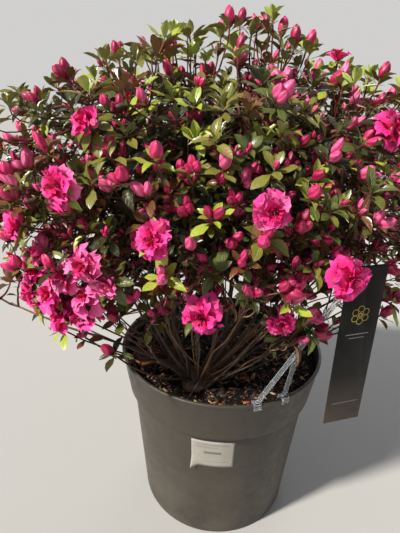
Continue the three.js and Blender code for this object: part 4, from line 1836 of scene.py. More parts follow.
@dataclass(frozen=True)
class Ruffle:
    """How one form of petal is modelled: narrow at its base, broad and frilled at its end."""

    flare: float
    frill: float
    point: float
    phase: float
    rows: tuple[float, ...] = (0.16, 0.36, 0.64, 0.9, 1.06, 1.02, 0.72)

    def shape(self, points: Vec) -> Vec:
        """Cups the petal, bends its end outwards and frills its margin.

        Args:
            points: the flat petal's points.

        Returns:
            The same points, moved.
        """
        x, y = points[:, 0].copy(), points[:, 1].copy()
        width = np.interp(y, np.linspace(0, 1, len(self.rows)), self.rows) / 2
        margin = np.clip(np.abs(x) / width, 0, 1) ** 2 * np.clip(y * 1.5, 0, 1) + np.clip(y - 0.7, 0, 1) * 2.4
        points[:, 0] += 0.055 * margin * np.sign(x) * np.sin(y * 23 + self.phase)
        points[:, 1] += 0.045 * np.clip(y - 0.8, 0, 1) * 5 * np.sin(x * 21 + self.phase)
        lift = 0.7 * x**2 * (1 - 0.5 * y) + 0.16 * y * np.abs(x) - self.flare * y**2
        points[:, 2] = lift + self.frill * margin * np.sin(x * 15 + y * 19 + self.phase)
        return points

    def model(self) -> Template:
        """Models the petal from a grid.

        Returns:
            Its template, a unit long and a unit across, hollow side up.
        """
        steps = len(self.rows) - 1
        petal = Model("petal").grid(5, steps, 1.0, 1.0)
        with petal.editing():
            for k, wide in enumerate(self.rows):
                petal.pick(lambda co, k=k: abs(co.y - k / steps) < 0.02)
                scale(wide, 1, 1)
            petal.pick(lambda co: co.y > 0.98 and abs(co.x) < 0.12)
            shift(0, self.point, 0)
            petal.pick(lambda co: co.y > 0.98 and co.x > 0.2)
            shift(0, -0.05, 0)
        return petal.template().bent(self.shape)


@dataclass(frozen=True)
class BudForm:
    """How a bud, scale cup or stamen is modelled: a ring drawn up along Z, with folds that wind round it."""

    profile: Pairs
    twist: float = 0.0
    fold: float = 0.0
    sides: int = 8

    def shape(self, points: Vec) -> Vec:
        """Pulls every second line of points in, winds the folds and lays the bud along Y.

        Args:
            points: the upright bud's points.

        Returns:
            The points, moved.
        """
        x, y, z = points.T
        angle = np.arctan2(y, x)
        radius = np.hypot(x, y) * (1 - self.fold * (np.rint(angle / tau * self.sides) % 2))
        wound = angle + self.twist * z
        return np.stack([radius * np.cos(wound), z, -radius * np.sin(wound)], axis=1)

    def model(self) -> Template:
        """Models the bud.

        Returns:
            Its template: a unit high along Y, with radii in the same unit.
        """
        (radius, height), *others = self.profile
        upright = Model("bud").ring(self.sides, radius, (0, 0, height)).draw_up(others).outward().template()
        laid = upright.bent(self.shape)
        return replace(laid, uv=np.stack([upright.turns(), laid.points[laid.corners, 1]], axis=1))


@dataclass
class Rosette:
    """The end of one twig."""

    point: Vec
    way: Vec
    toward: Vec
    tint: Tint
    end: End
    size: float
    lead: bool
    inner: bool


@dataclass(frozen=True)
class Whorl:
    """One ring of a bloom's petals: how many, degrees off its face, length and width in radii, and tint."""

    count: int
    lean: float
    long: float
    wide: float
    tint: Petal = Petal.BRIGHT


@dataclass
class Foliage:
    """Leaves, buds and blooms at the ends of the twigs and along them, in millimetres.

    Ends are deep or at the rim by how far out they are, as a share of the crown's reach.
    """

    growth: Growth
    deep: float = 0.78
    rim: float = 0.92
    cluster_spread: float = radians(11)
    small_buds: tuple[float, float] = (12, 18)
    large_buds: tuple[float, float] = (22, 32)
    thread_lengths: tuple[float, float] = (17, 24)
    leaf_length: float = 34.0
    leaf_share: float = 0.43
    plain_below: float = 23.0
    bloom_radius: float = 28.0
    cup_size: float = 22.0
    threads: int = 7
    clusters: Pairs = ((-137, -17), (46, -8), (98, 6), (166, -8), (66, 22))
    blades: tuple[Blade, ...] = (
        Blade(0.22, 0.32, 0.6, 0.04), Blade(0.34, 0.16, 0.2, 0.06), Blade(0.12, 0.5, 1.2, 0.05),
        Blade(0.42, 0.6, 0.4, 0.03), Blade(0.2, 0.05, 0.9, 0.09),
    )
    plain_rows: Pairs = ((0.0, 0.06), (0.38, 0.9), (0.72, 0.86), (1.0, 0.05))
    ruffles: tuple[Ruffle, ...] = (
        Ruffle(0.26, 0.11, 0.03, 0.0), Ruffle(0.36, 0.14, 0.0, 1.3), Ruffle(0.18, 0.12, 0.02, 2.9),
        Ruffle(0.46, 0.15, 0.01, 4.4),
    )
    spindle: BudForm = BudForm(
        ((0.07, 0.0), (0.17, 0.14), (0.225, 0.36), (0.215, 0.58), (0.14, 0.82), (0.05, 0.96), (0.004, 1.0)), 2.2, 0.1)
    plump: BudForm = BudForm(
        ((0.09, 0.0), (0.23, 0.14), (0.315, 0.38), (0.3, 0.62), (0.19, 0.85), (0.07, 0.96), (0.004, 1.0)), 1.6, 0.11)
    cup: BudForm = BudForm(((0.06, -0.08), (0.16, 0.06), (0.205, 0.22), (0.19, 0.3)), 0.6, 0.2, 6)
    tiny: BudForm = BudForm(((0.09, 0.0), (0.26, 0.3), (0.2, 0.7), (0.01, 1.0)), 1.6, 0.12, 6)
    tiny_cup: BudForm = BudForm(((0.16, 0.06), (0.205, 0.22)), 0.4, 0.1, 5)
    thread: BudForm = BudForm(((0.02, 0.0), (0.016, 0.9), (0.04, 0.93), (0.03, 1.0)), sides=3)
    half_open: tuple[Whorl, ...] = (
        Whorl(5, 36, 1.0, 0.8), Whorl(4, 22, 0.86, 0.64), Whorl(3, 8, 0.74, 0.46, Petal.DEEP),
    )
    open: tuple[Whorl, ...] = (
        Whorl(6, 84, 1.02, 0.92), Whorl(6, 64, 0.94, 0.84), Whorl(5, 46, 0.78, 0.66),
        Whorl(5, 26, 0.6, 0.42, Petal.DEEP),
    )
    scale_skin: LeafSkin = LeafSkin("Bud scale", "7a6a34", "6a4630", "9a8a50", "7a6a44", 0.5)
    stamen_skin: PetalSkin = PetalSkin("Stamen", "d8306a", "e87a9c", "a01840", 0.05)

    def build(self) -> None:
        """Deals out the rosettes, and grows what each one bears."""
        self.rng = np.random.default_rng(31)
        self.leaves = {tint: Gathered() for tint in Tint}
        self.petals = {petal: Gathered() for petal in Petal}
        self.scales, self.stamens = Gathered(), Gathered()
        plain = [replace(blade, rows=self.plain_rows) for blade in self.blades]
        self.leaf_shapes = [[blade.model() for blade in blades] for blades in (self.blades, plain)]
        self.petal_shapes = [ruffle.model() for ruffle in self.ruffles]
        self.bud_shapes = [self.spindle.model(), self.plump.model()]
        self.cup_shape, self.thread_shape = self.cup.model(), self.thread.model()
        self.tiny_bud, self.tiny_cup_shape = self.tiny.model(), self.tiny_cup.model()
        for rosette in self.deal():
            self.bear(rosette)
        self.leaves_along()
        self.finish_pieces()

    def end_of(self, tip: Tip, off: Vec, shell: float, high: float) -> End:
        """Decides what a twig's end bears.

        Args:
            tip: the twig's end.
            off: where it is from the crown's middle.
            shell: how far out it is, as a share of the crown's reach.
            high: how high it is, from the skirt to the top.

        Returns:
            What it bears.
        """
        draw = self.rng.random()
        near = max(float(unit(off) @ turned(*place)) for place in self.clusters)
        thick = near > cos(self.cluster_spread) and shell > 0.86
        sure = tip.sure and (thick or draw < 0.8) or tip.bloom and off[1] > 0
        if tip.inner:
            return End.LEAF if draw < 0.92 else End.BUD
        if sure or shell > 0.88 and draw < (0.4 if thick else 0.001):
            return End.BLOOM
        if tip.sure or shell > 0.8 and draw < (0.5 if thick else 0.016):
            return End.HALF
        budding = 0.4 if tip.lead else 0.5 if shell < self.deep else 0.9 - 0.3 * (high > 0.62)
        return End.BUD if draw < budding else End.LEAF

    def deal(self) -> list[Rosette]:
        """Decides what each twig's end bears, and its leaves' tint, by where it is.

        Returns:
            The rosettes.
        """
        crown, rng = self.growth.crown, self.rng
        # The leading shoots take mostly olive and fresh green: partly fresh growth and partly painted light, for sun on
        # the top and light shining through its leaves.
        leading = {Tint.OLIVE: 0.42, Tint.LIME: 0.34, Tint.MID: 0.12, Tint.BRONZE: 0.12}
        made: list[Rosette] = []
        for twig in self.growth.twigs():
            tip = twig.tip
            off = tip.point - crown.centre
            shell = np.linalg.norm(off) / crown.reach_of(unit(off))
            high = (tip.point[2] - crown.skirt) / (crown.top - crown.skirt)
            end = self.end_of(tip, off, shell, high)
            # Olive and fresh green are dealt more often high up and at the rim, and dark green less often: partly fresh
            # growth and partly painted light on the sunlit outside of the crown.
            tint = dealt(rng, {
                Tint.MID: 0.18, Tint.DARK: 0.36 - 0.18 * high, Tint.OLIVE: 0.16 + 0.16 * high,
                Tint.LIME: 0.05 + 0.12 * (high > 0.5) + 0.09 * (shell > self.rim), Tint.BRONZE: 0.27,
            })
            size = rng.uniform(0.8, 1.16)
            size *= 1.2 if tip.lead else 0.78 if shell < self.deep else 1.1 if shell > self.rim else 1.0
            # Painted shade: rosettes inside the crown take dark green or bronze and larger leaves.
            if tip.inner:
                tint, size = Tint.BRONZE if rng.random() < 0.3 else Tint.DARK, size * 1.3
            if tip.lead:
                tint = dealt(rng, leading)
            made.append(Rosette(tip.point, twig.line.way(1.0), tip.toward, tint, end, size, tip.lead, tip.inner))
        LOG.info("twig ends: %s", {end.value: sum(r.end is end for r in made) for end in End})
        return made

    def clear_of_card(self, points: Vec) -> Vec:
        """Which points keep clear of the swing tag and its holder."""
        return self.growth.clearance(points, self.growth.fittings) > -8

    def whorl(self, rosette: Rosette, count: int, pitch: Sequence[float], sizes: Sequence[float]) -> None:
        """Sets leaves round a twig's end, the outer ones longest and lying flattest.

        Args:
            rosette: the twig's end.
            count: how many leaves.
            pitch: degrees off the twig of the outermost and innermost leaf.
            sizes: length of the outermost and innermost leaf, as shares of the usual length.
        """
        rng, first, last = self.rng, *(self.leaf_length * size for size in sizes)
        level = np.arange(count) / max(1, count - 1)
        turn = rng.uniform(0, tau) + GOLDEN * np.arange(count) + rng.normal(0, 0.18, count)
        lean = np.radians(pitch[0] + (pitch[1] - pitch[0]) * level + rng.normal(0, 7, count))
        ways, out = fan(rosette.way, turn, lean)
        tops = across(ways, 0.75 * rosette.way + 0.3 * UP + rng.normal(0, 0.16, ways.shape))
        lengths = (first + (last - first) * level) * rng.uniform(0.86, 1.14, count) * rosette.size
        roots = rosette.point - rosette.way * (7 - 8 * level)[:, None] + out * 1.1
        self.set_leaves(rosette.tint, roots, ways, tops, lengths, rosette.inner)

    def set_leaves(self, tint: Tint, roots: Vec, ways: Vec, tops: Vec, lengths: Vec, plain_all: bool = False) -> None:
        """Copies leaves to their places, in mixed forms.

        Args:
            tint: whose piece they join.
            roots: where they grow.
            ways: their directions.
            tops: which way their upper faces look.
            lengths: their lengths in millimetres.
            plain_all: whether all take the plain form, as inside the crown.
        """
        keep = self.clear_of_card(roots + ways * lengths[:, None])
        forms = self.rng.integers(0, len(self.blades), len(roots))
        widths = lengths * self.leaf_share * self.rng.uniform(0.86, 1.12, len(roots))
        short = (lengths < self.plain_below) | plain_all
        for plain, shapes in enumerate(self.leaf_shapes):
            use = np.where(keep & (short == plain), forms, -1)
            self.leaves[tint].mix(shapes, use, roots, ways, tops, widths, lengths, lengths)

    def bear(self, rosette: Rosette) -> None:
        """Grows the leaves, buds or bloom of one twig's end.

        Args:
            rosette: the twig's end.
        """
        rng, lead = self.rng, rosette.lead
        if rosette.end is End.LEAF:
            self.whorl(rosette, 5 if rosette.inner else int(rng.integers(6, 10)), (66 if lead else 72, 14), (1, 0.62))
        elif rosette.end is End.BUD:
            self.whorl(rosette, int(rng.integers(4, 8)), (66 if lead else 80, 42), (0.94, 0.66))
            self.buds(rosette, 1 if lead else dealt(rng, {1: 0.34, 2: 0.4, 3: 0.26}))
        else:
            self.whorl(rosette, int(rng.integers(4, 7)), (104, 80), (1, 0.8))
            self.bloom(rosette)
            if rng.random() < 0.45:
                self.buds(rosette, 1, 48)

    def buds(self, rosette: Rosette, count: int, tilt: float = 0) -> None:
        """Sets buds on a twig's end.

        Args:
            rosette: the twig's end.
            count: how many.
            tilt: degrees that they are turned aside, to clear a bloom.
        """
        rng = self.rng
        turn = rng.uniform(0, tau) + tau * np.arange(count) / count + rng.normal(0, 0.2, count)
        lean = np.radians(tilt + (rng.uniform(13, 30, count) if count > 1 else rng.uniform(2, 14, count)))
        ways, out = fan(rosette.way, turn, lean)
        roots = rosette.point + out * (1.5 if count > 1 else 0.0)
        small = rng.random() < (0.1 if rosette.lead else 0.28)
        lengths = rng.uniform(*(self.small_buds if small else self.large_buds), count) * (0.7 + 0.3 * rosette.size)
        keep = self.clear_of_card(roots + ways * lengths[:, None])
        roots, ways, lengths = roots[keep], ways[keep], lengths[keep]
        tops, sizes = any_side(ways), (lengths * rng.uniform(0.9, 1.12), lengths, lengths)
        tint = dealt(rng, {Petal.ROSE: 0.5, Petal.BLUSH: 0.27, Petal.WINE: 0.23})
        form = self.tiny_bud if small else self.bud_shapes[int(rng.random() < 0.72)]
        self.petals[tint].place(form, roots + ways * 3, ways, tops, *sizes)
        cup = self.tiny_cup_shape if small else self.cup_shape
        self.scales.place(cup, roots + ways * 2.2, ways, tops, *(size * 0.95 for size in sizes))

    def bloom(self, rosette: Rosette) -> None:
        """Opens one semi-double bloom: whorls of ruffled petals round a tuft of stamens.

        Args:
            rosette: the twig's end.
        """
        rng, half = self.rng, rosette.end is End.HALF
        face = unit(rosette.way * 0.35 + rosette.toward * 0.65 + rng.normal(0, 0.1, 3))
        radius = self.bloom_radius * (rng.uniform(0.72, 0.92) if half else rng.uniform(0.84, 1.12))
        pale = rng.random() < 0.3
        start, turn0 = rosette.point + face * 3, rng.uniform(0, tau)
        for rank, whorl in enumerate(self.half_open if half else self.open):
            count = whorl.count
            turn = turn0 + tau * (np.arange(count) + 0.5 * rank) / count + rng.normal(0, 0.12, count)
            ways, out = fan(face, turn, np.radians(whorl.lean + rng.normal(0, 9, count)))
            tops = across(ways, face + rng.normal(0, 0.24, ways.shape))
            lengths = radius * whorl.long * rng.uniform(0.84, 1.12, count)
            widths = radius * whorl.wide * rng.uniform(0.85, 1.15, count)
            tint = Petal.PALE if whorl.tint is Petal.BRIGHT and (pale or rng.random() < 0.25) else whorl.tint
            forms = rng.integers(0, len(self.petal_shapes), count)
            roots = start + out * 1.6 + face * (1.5 * rank)
            self.petals[tint].mix(self.petal_shapes, forms, roots, ways, tops, widths, lengths, lengths)
        cup = np.full((3, 1), self.cup_size)
        self.scales.place(self.cup_shape, rosette.point[None] + face, face[None], any_side(face)[None], *cup)
        if not half:
            turn = tau * np.arange(self.threads) / self.threads + rng.normal(0, 0.3, self.threads)
            ways, _ = fan(face, turn, np.radians(rng.uniform(6, 24, self.threads)))
            roots = np.broadcast_to(start + face * 4, ways.shape)
            sizes = [rng.uniform(*self.thread_lengths, self.threads)] * 3
            self.stamens.place(self.thread_shape, roots, ways, any_side(ways), *sizes)

    def leaves_along(self) -> None:
        """Sets single leaves along the outer part of each twig, fewer on the leading shoots."""
        rng = self.rng
        tints = {Tint.MID: 0.2, Tint.DARK: 0.43, Tint.OLIVE: 0.12, Tint.BRONZE: 0.225, Tint.FLAME: 0.025}
        for twig in self.growth.twigs():
            length = np.linalg.norm(twig.line.end - twig.line.start)
            _, y, z = twig.tip.point
            bare = twig.tip.lead or y < -70 and z < 790
            count = int(rng.integers(0, 2) if bare else rng.integers(2, 4 + int(length > 60) * 2))
            if not count:
                continue
            share = rng.uniform(max(0.3, 1 - 130 / length), 0.9, count)
            roots, ways = twig.line.at(share), twig.line.way(share)
            heading, out = fan(ways, rng.uniform(0, tau, count), np.radians(rng.uniform(48, 84, count)))
            tops = across(heading, ways * 0.5 + UP * 0.6 + rng.normal(0, 0.2, ways.shape))
            tint, lengths = dealt(rng, tints), self.leaf_length * rng.uniform(0.5, 0.9, count)
            self.set_leaves(tint, roots + out * 0.8, heading, tops, lengths)

    def finish_pieces(self) -> None:
        """Joins each kind and tint into its piece."""
        nodes = self.growth.names("foliage")
        for tint, gathered in self.leaves.items():
            dress(gathered.piece(f"leaves_{tint.name.lower()}"), tint.value, "foliage", *nodes)
        for petal, gathered in self.petals.items():
            kind = "petals" if isinstance(petal.value, PetalSkin) else "buds"
            dress(gathered.piece(f"{kind}_{petal.name.lower()}"), petal.value, "petals")
        dress(self.scales.piece("bud_scales"), self.scale_skin, "foliage")
        dress(self.stamens.piece("stamens"), self.stamen_skin, "petals")


# Pot, compost and what is fixed to the pot


@dataclass
class Pot:
    """The moulded pot: a tapering body under a deep, rolled collar."""

    height: float = 0.430
    lip: float = 0.240
    collar: float = 0.237
    collar_foot: float = 0.224
    collar_drop: float = 0.101
    body: float = 0.214
    foot: float = 0.188
    wall: float = 0.004
    sides: int = 144
    # Painted shade: the taupe plastic is darkened toward its tone in the crown's shade.
    plastic: MouldedPlastic = MouldedPlastic("Pot plastic", "38332b", "443d34", "857b6c")

    def body_radius(self, z: float) -> float:
        """Radius of the outer face below the collar."""
        return self.foot + (self.body - self.foot) * (z - 0.006) / (self.height - self.collar_drop - 0.009)

    def build(self) -> None:
        """Draws the wall up from the foot, over the rim and down the inside, and dresses it."""
        top, ledge, foot, body = self.height, self.height - self.collar_drop, self.foot, self.body
        start, collar, lip, wall = self.collar_foot, self.collar, self.lip, self.wall
        outer = [
            (foot - 0.012, 0.0), (foot - 0.004, 0.0), (foot - 0.0015, 0.0008), (foot, 0.0045), (foot + 0.0004, 0.0075),
            *((self.body_radius(z), z) for z in (0.012, 0.08, 0.16, 0.24, ledge - 0.012)),
            (body - 0.0005, ledge - 0.004), (body + 0.0015, ledge - 0.0016), (start - 0.004, ledge - 0.0008),
            (start - 0.001, ledge + 0.0006), (start + 0.0004, ledge + 0.0035), (start + 0.0012, ledge + 0.01),
            (collar - 0.0055, ledge + 0.05), (collar - 0.0006, top - 0.013), (collar + 0.0003, top - 0.0095),
            (lip - 0.0006, top - 0.0062), (lip, top - 0.0045), (lip, top - 0.0025), (lip - 0.0008, top - 0.0008),
            (lip - 0.0025, top),
        ]
        inner = [
            (collar - wall + 0.0008, top - 0.0006), (collar - wall, top - 0.003),
            (collar - 0.007 - wall, ledge + 0.045),
            (start - wall, ledge + 0.004), (body - wall, ledge - 0.004), (foot - wall, 0.008), (foot - 0.01, 0.005),
            (0.02, 0.005),
        ]
        pot = Model("pot_shell").ring(self.sides, 0.02).draw_up([*outer, *inner])
        with pot.editing():
            pot.pick(lambda co: co.z < 0.0001 and hypot(co.x, co.y) < 0.021)
            bpy.ops.mesh.edge_face_add()
        dress(pot.outward().smooth(40).shape, self.plastic, "pot", "pot")


class Chip(Enum):
    """The tints of the bark chips, darkened as painted shade under the crown."""

    DARK = Grained("Chip dark", "20140d", "3a261a", 0.8, 140.0, 0.8, 1400.0, 0.0004)
    RUST = Grained("Chip rust", "7c4020", "a8663a", 0.8, 140.0, 0.8, 1400.0, 0.0004)
    PALE = Grained("Chip pale", "8e7450", "bca078", 0.8, 140.0, 0.8, 1400.0, 0.0004)


@dataclass
class Bed:
    """The compost in the pot, in metres, and the chips of bark that lie on it, in millimetres."""

    top: float = 0.405
    radius: float = 0.2278
    foot: float = 0.176
    floor: float = 0.0068
    spread: float = 222
    edge: float = 224
    wall: Pairs = ((0.1825, 0.01), (0.2072, 0.322), (0.2184, 0.334))
    rings: int = 26
    chips: int = 2300
    # Mostly dark chips: partly the bark's own tone and partly painted shade.
    chip_shares: tuple[float, ...] = (0.66, 0.23, 0.11)
    # Painted shade: the compost's browns are darkened for the shade under the crown.
    compost: Compost = Compost("Compost", "0a0705", "18100a")

    def build(self) -> None:
        """Builds the bed and its chips."""
        self.build_bed()
        self.build_chips()

    def build_bed(self) -> None:
        """A disc of compost down to the pot's floor, with a crumbled, uneven top."""
        flat = [(self.radius * k / self.rings, self.top) for k in range(self.rings - 1, 0, -1)]
        bed = Model("compost_bed").ring(96, self.foot, (0, 0, self.floor), filled=True)
        bed.draw_up([*self.wall, (self.radius, self.top - 0.004), (self.radius - 0.002, self.top), *flat]).outward()
        group = bed.shape.vertex_groups.new(name="top")
        group.add([v.index for v in bed.shape.data.vertices if v.co.z > self.top - 0.001], 1.0, "REPLACE")
        bed.crumble(0.022, 5, strength=0.015, mid_level=0.55, vertex_group="top", direction="Z").smooth(50)
        self.shape = dress(bed.shape, self.compost, "compost", "compost")

    def build_chips(self) -> None:
        """Copies of three chip forms, scattered flat and dealt three tints."""
        bpy.context.view_layer.update()
        rng = np.random.default_rng(17)
        forms = [self.chip_form(k) for k in range(3)]
        tints = rng.choice(3, self.chips, p=self.chip_shares)
        for k, tint in enumerate(Chip):
            gathered = Gathered()
            kinds = rng.integers(0, 3, int((tints == k).sum()))
            for kind, form in enumerate(forms):
                self.scatter(rng, gathered, form, int((kinds == kind).sum()))
            dress(gathered.piece(f"bark_chips_{tint.name.lower()}"), tint.value, "compost")

    def scatter(self, rng: np.random.Generator, gathered: Gathered, form: Template, count: int) -> None:
        """Scatters chips of one form and tint on the bed.

        Args:
            rng: the stream of random numbers.
            gathered: the piece that they join.
            form: the chip.
            count: how many.
        """
        bearing, off = rng.uniform(0, tau, count), np.sqrt(rng.uniform(0, 1, count)) * self.spread
        spin, tilt = rng.uniform(0, tau, count), rng.normal(0, 0.24, (count, 2))
        ways = unit(np.stack([np.cos(spin), np.sin(spin), tilt[:, 0]], axis=1))
        tops = across(ways, np.stack([tilt[:, 1], tilt[:, 0] * 0.5, np.ones(count)], axis=1))
        lengths = rng.gamma(2.0, 3.0, count) + 4
        widths, runs = lengths * rng.uniform(0.3, 0.7, count), ways * lengths[:, None]
        roots = np.stack([np.cos(bearing) * off, np.sin(bearing) * off, np.zeros(count)], axis=1)
        roots[:, 2] = [self.height(*middle[:2]) + rng.uniform(0.0, 1.4) for middle in roots + runs / 2]
        use = np.hypot(*(roots + runs)[:, :2].T) < self.edge
        gathered.place(form, *(row[use] for row in (roots, ways, tops, widths, lengths, lengths * 0.9)))

    def height(self, x: float, y: float) -> float:
        """The height of the bed's top at a place, in millimetres."""
        hit, place, _, _ = self.shape.ray_cast((x * MM, y * MM, 0.5), (0, 0, -1))
        return place.z / MM if hit else self.top / MM

    @staticmethod
    def chip_form(kind: int) -> Template:
        """A thin, broken chip: a box whose ends are drawn in askew.

        Args:
            kind: which of the three forms.

        Returns:
            Its template, a unit long.
        """
        chip = Model("chip").box((1.0, 1.0, 0.16), (0, 0.5, 0))
        with chip.editing():
            chip.pick(lambda co: co.y > 0.9)
            scale(0.45 + 0.2 * kind, 1, 0.7, (0.1 - 0.12 * kind, 1.0, 0))
            chip.pick(lambda co: co.y < 0.1 and co.x > 0)
            shift(-0.2, 0.18 * kind, 0.03)
            chip.pick(lambda co: co.y > 0.9 and co.x < 0)
            shift(0.0, -0.22, 0.05)
        return chip.template()


@dataclass
class Sticker:
    """The white sticker that hugs the pot below its collar, with one corner lifting, its paper painted grey for the
    shade it lies in.

    Each printed rule has its bottom, top, left and right, in shares of the sticker.
    """

    pot: Pot
    wide: float = radians(25)
    tall: float = 0.076
    top: float = 0.313
    bearing: float = radians(-95)
    gap: float = 0.0006
    thick: float = 0.0004
    ink_gap: float = 0.00075
    rules: tuple[tuple[float, float, float, float], ...] = (
        (0.86, 0.875, 0.12, 0.88), (0.76, 0.772, 0.12, 0.62), (0.52, 0.60, 0.3, 0.7), (0.2, 0.21, 0.3, 0.88),
    )
    # Painted shade: the white paper's grey stands in for the shade it lies in.
    paper: Grained = Grained("Sticker paper", "a29d93", "857d70")
    ink: Grained = Grained("Sticker ink", "6a6762", "7c7872", 0.6)

    def wrap(self, gathered: Gathered, flat: Template, lift: float) -> None:
        """Bends a flat shape, drawn in shares of the sticker, round the pot.

        Args:
            gathered: the piece it joins.
            flat: the shape, in X and Y from 0 to 1 and Z in metres.
            lift: how far it stands off the pot.
        """
        x, y, z = flat.points.T
        height = self.top - self.tall * (1 - y)
        angle = self.bearing + (x - 0.5) * self.wide
        corner = np.clip((0.2 - x) / 0.2, 0, 1) * np.clip((0.34 - y) / 0.34, 0, 1)
        radius = self.pot.body_radius(height) + lift + z + 0.011 * corner**1.6
        points = np.stack([radius * np.cos(angle), radius * np.sin(angle), height - 0.004 * corner], axis=1)
        gathered.add(flat, points[None])

    def build(self) -> None:
        """Builds the sticker and its plain printed rules."""
        sheet, rules = Gathered(), Gathered()
        self.wrap(sheet, Model("sheet").grid(24, 14, 1.0, 1.0, (0.5, 0, 0)).template(), self.gap)
        sticker = Model("sticker", sheet.piece("sticker")).modify("SOLIDIFY", thickness=self.thick, offset=-1)
        dress(sticker.shape, self.paper, "label", "care_label")
        for low, high, left, right in self.rules:
            bar = Model("rule").grid(12, 1, right - left, high - low, ((left + right) / 2, low, 0))
            self.wrap(rules, bar.template(), self.ink_gap)
        dress(rules.piece("sticker_rules"), self.ink, "label")


@dataclass
class SwingTag:
    """The long swing tag: a card with a plain gold flower and rules printed on it.

    Each printed rule has its height from the hole, its half width and how tall it is.
    """

    width: float = 0.074
    length: float = 0.312
    thick: float = 0.0012
    hole: float = 0.005
    hole_drop: float = 0.014
    corner: float = 0.007
    hang: Point = (0.209, -0.262, 0.725)
    lean: float = radians(1)
    turn: float = radians(16)
    flower_drop: float = -0.075
    petals: int = 6
    petal_out: float = 0.0115
    petal_ring: tuple[float, float] = (0.0062, 0.0011)
    heart_ring: tuple[float, float] = (0.0044, 0.0022)
    bevel: float = 0.0003
    rules: Points = ((-0.112, 0.022, 0.0016), (-0.119, 0.015, 0.0012), (-0.256, 0.026, 0.0013))
    card: PrintedCard = PrintedCard("Tag card", "0f0f0e", "4e433a", 0.41, 0.53)
    gold: Grained = Grained("Tag gold print", "b8a030", "a08a2c", 0.35)
    grey: Grained = Grained("Tag grey print", "77747c", "6a6870", 0.4)

    def place(self, points: Vec) -> Vec:
        """Turns shapes drawn in the card's own plane to where it hangs.

        Args:
            points: X across, Z up and Y through the card, from its hole, in metres.

        Returns:
            The points in place.
        """
        turn = Matrix.Rotation(self.turn, 3, "Z") @ Matrix.Rotation(-self.lean, 3, "Y")
        return points @ np.array(turn).T + np.array(self.hang)

    def print_on(self, gathered: Gathered, flat: Template, aside: float, up: float) -> None:
        """Prints a flat shape, drawn in X and Y, on the card's face.

        Args:
            gathered: the piece it joins.
            flat: the shape.
            aside: its place across the card.
            up: its height from the hole.
        """
        x, y, _ = flat.points.T
        face = np.full_like(x, -self.thick / 2 - 0.0001)
        gathered.add(flat, self.place(np.stack([x + aside, face, y + up], axis=1))[None])

    @staticmethod
    def ring(radius: float, width: float) -> Template:
        """A flat ring whose face looks out of the card.

        Args:
            radius: its outer radius.
            width: how wide its line is.

        Returns:
            Its template.
        """
        ring, shrink = Model("ring").ring(28, radius), (radius - width) / radius
        with ring.editing():
            select_all()
            extrude(0)
            scale(shrink, shrink, 1)
        flat = ring.template()
        return replace(flat, corners=flat.corners[::-1].copy(), uv=flat.uv[::-1].copy())

    def build(self) -> None:
        """Builds the card, its flower and its rules."""
        self.build_card()
        flower, rules, petal = Gathered(), Gathered(), self.ring(*self.petal_ring)
        for k in range(self.petals):
            aside, up, _ = around(tau * k / self.petals + pi / 2, self.petal_out)
            self.print_on(flower, petal, aside, self.flower_drop + up)
        self.print_on(flower, self.ring(*self.heart_ring), 0, self.flower_drop)
        dress(flower.piece("tag_flower"), self.gold, "tag")
        for height, half, tall in self.rules:
            self.print_on(rules, Model("rule").grid(4, 1, half * 2, tall).template(), 0, height)
        dress(rules.piece("tag_rules"), self.grey, "tag")

    def build_card(self) -> None:
        """A thin board with cut upper corners, a punched hole and softened edges."""
        half, top, low = self.width / 2, self.hole_drop, self.hole_drop - self.length
        card = Model("card").box((self.width, self.thick, self.length), (0, 0, (top + low) / 2))
        with card.editing():
            for side in (-1, 1):
                select_all()
                at = (side * (half - self.corner / 2), 0, top - self.corner / 2)
                bpy.ops.mesh.bisect(plane_co=at, plane_no=(side, 0, 1), clear_outer=True, use_fill=True)
        hole = Model("hole").ring(24, self.hole, (0, 0, -0.01), filled=True).draw_up([(self.hole, 0.01)])
        with hole.editing():
            select_all()
            bpy.ops.transform.rotate(value=pi / 2, orient_axis="X", center_override=(0, 0, 0))
        hole.outward()
        card.modify("BOOLEAN", operation="DIFFERENCE", object=hole.shape, solver="EXACT")
        bpy.data.objects.remove(hole.shape)
        card.modify("BEVEL", width=self.bevel, segments=2, limit_method="ANGLE")
        dress(card.remap(self.place).smooth(30).shape, self.card, "tag", "swing_tag")


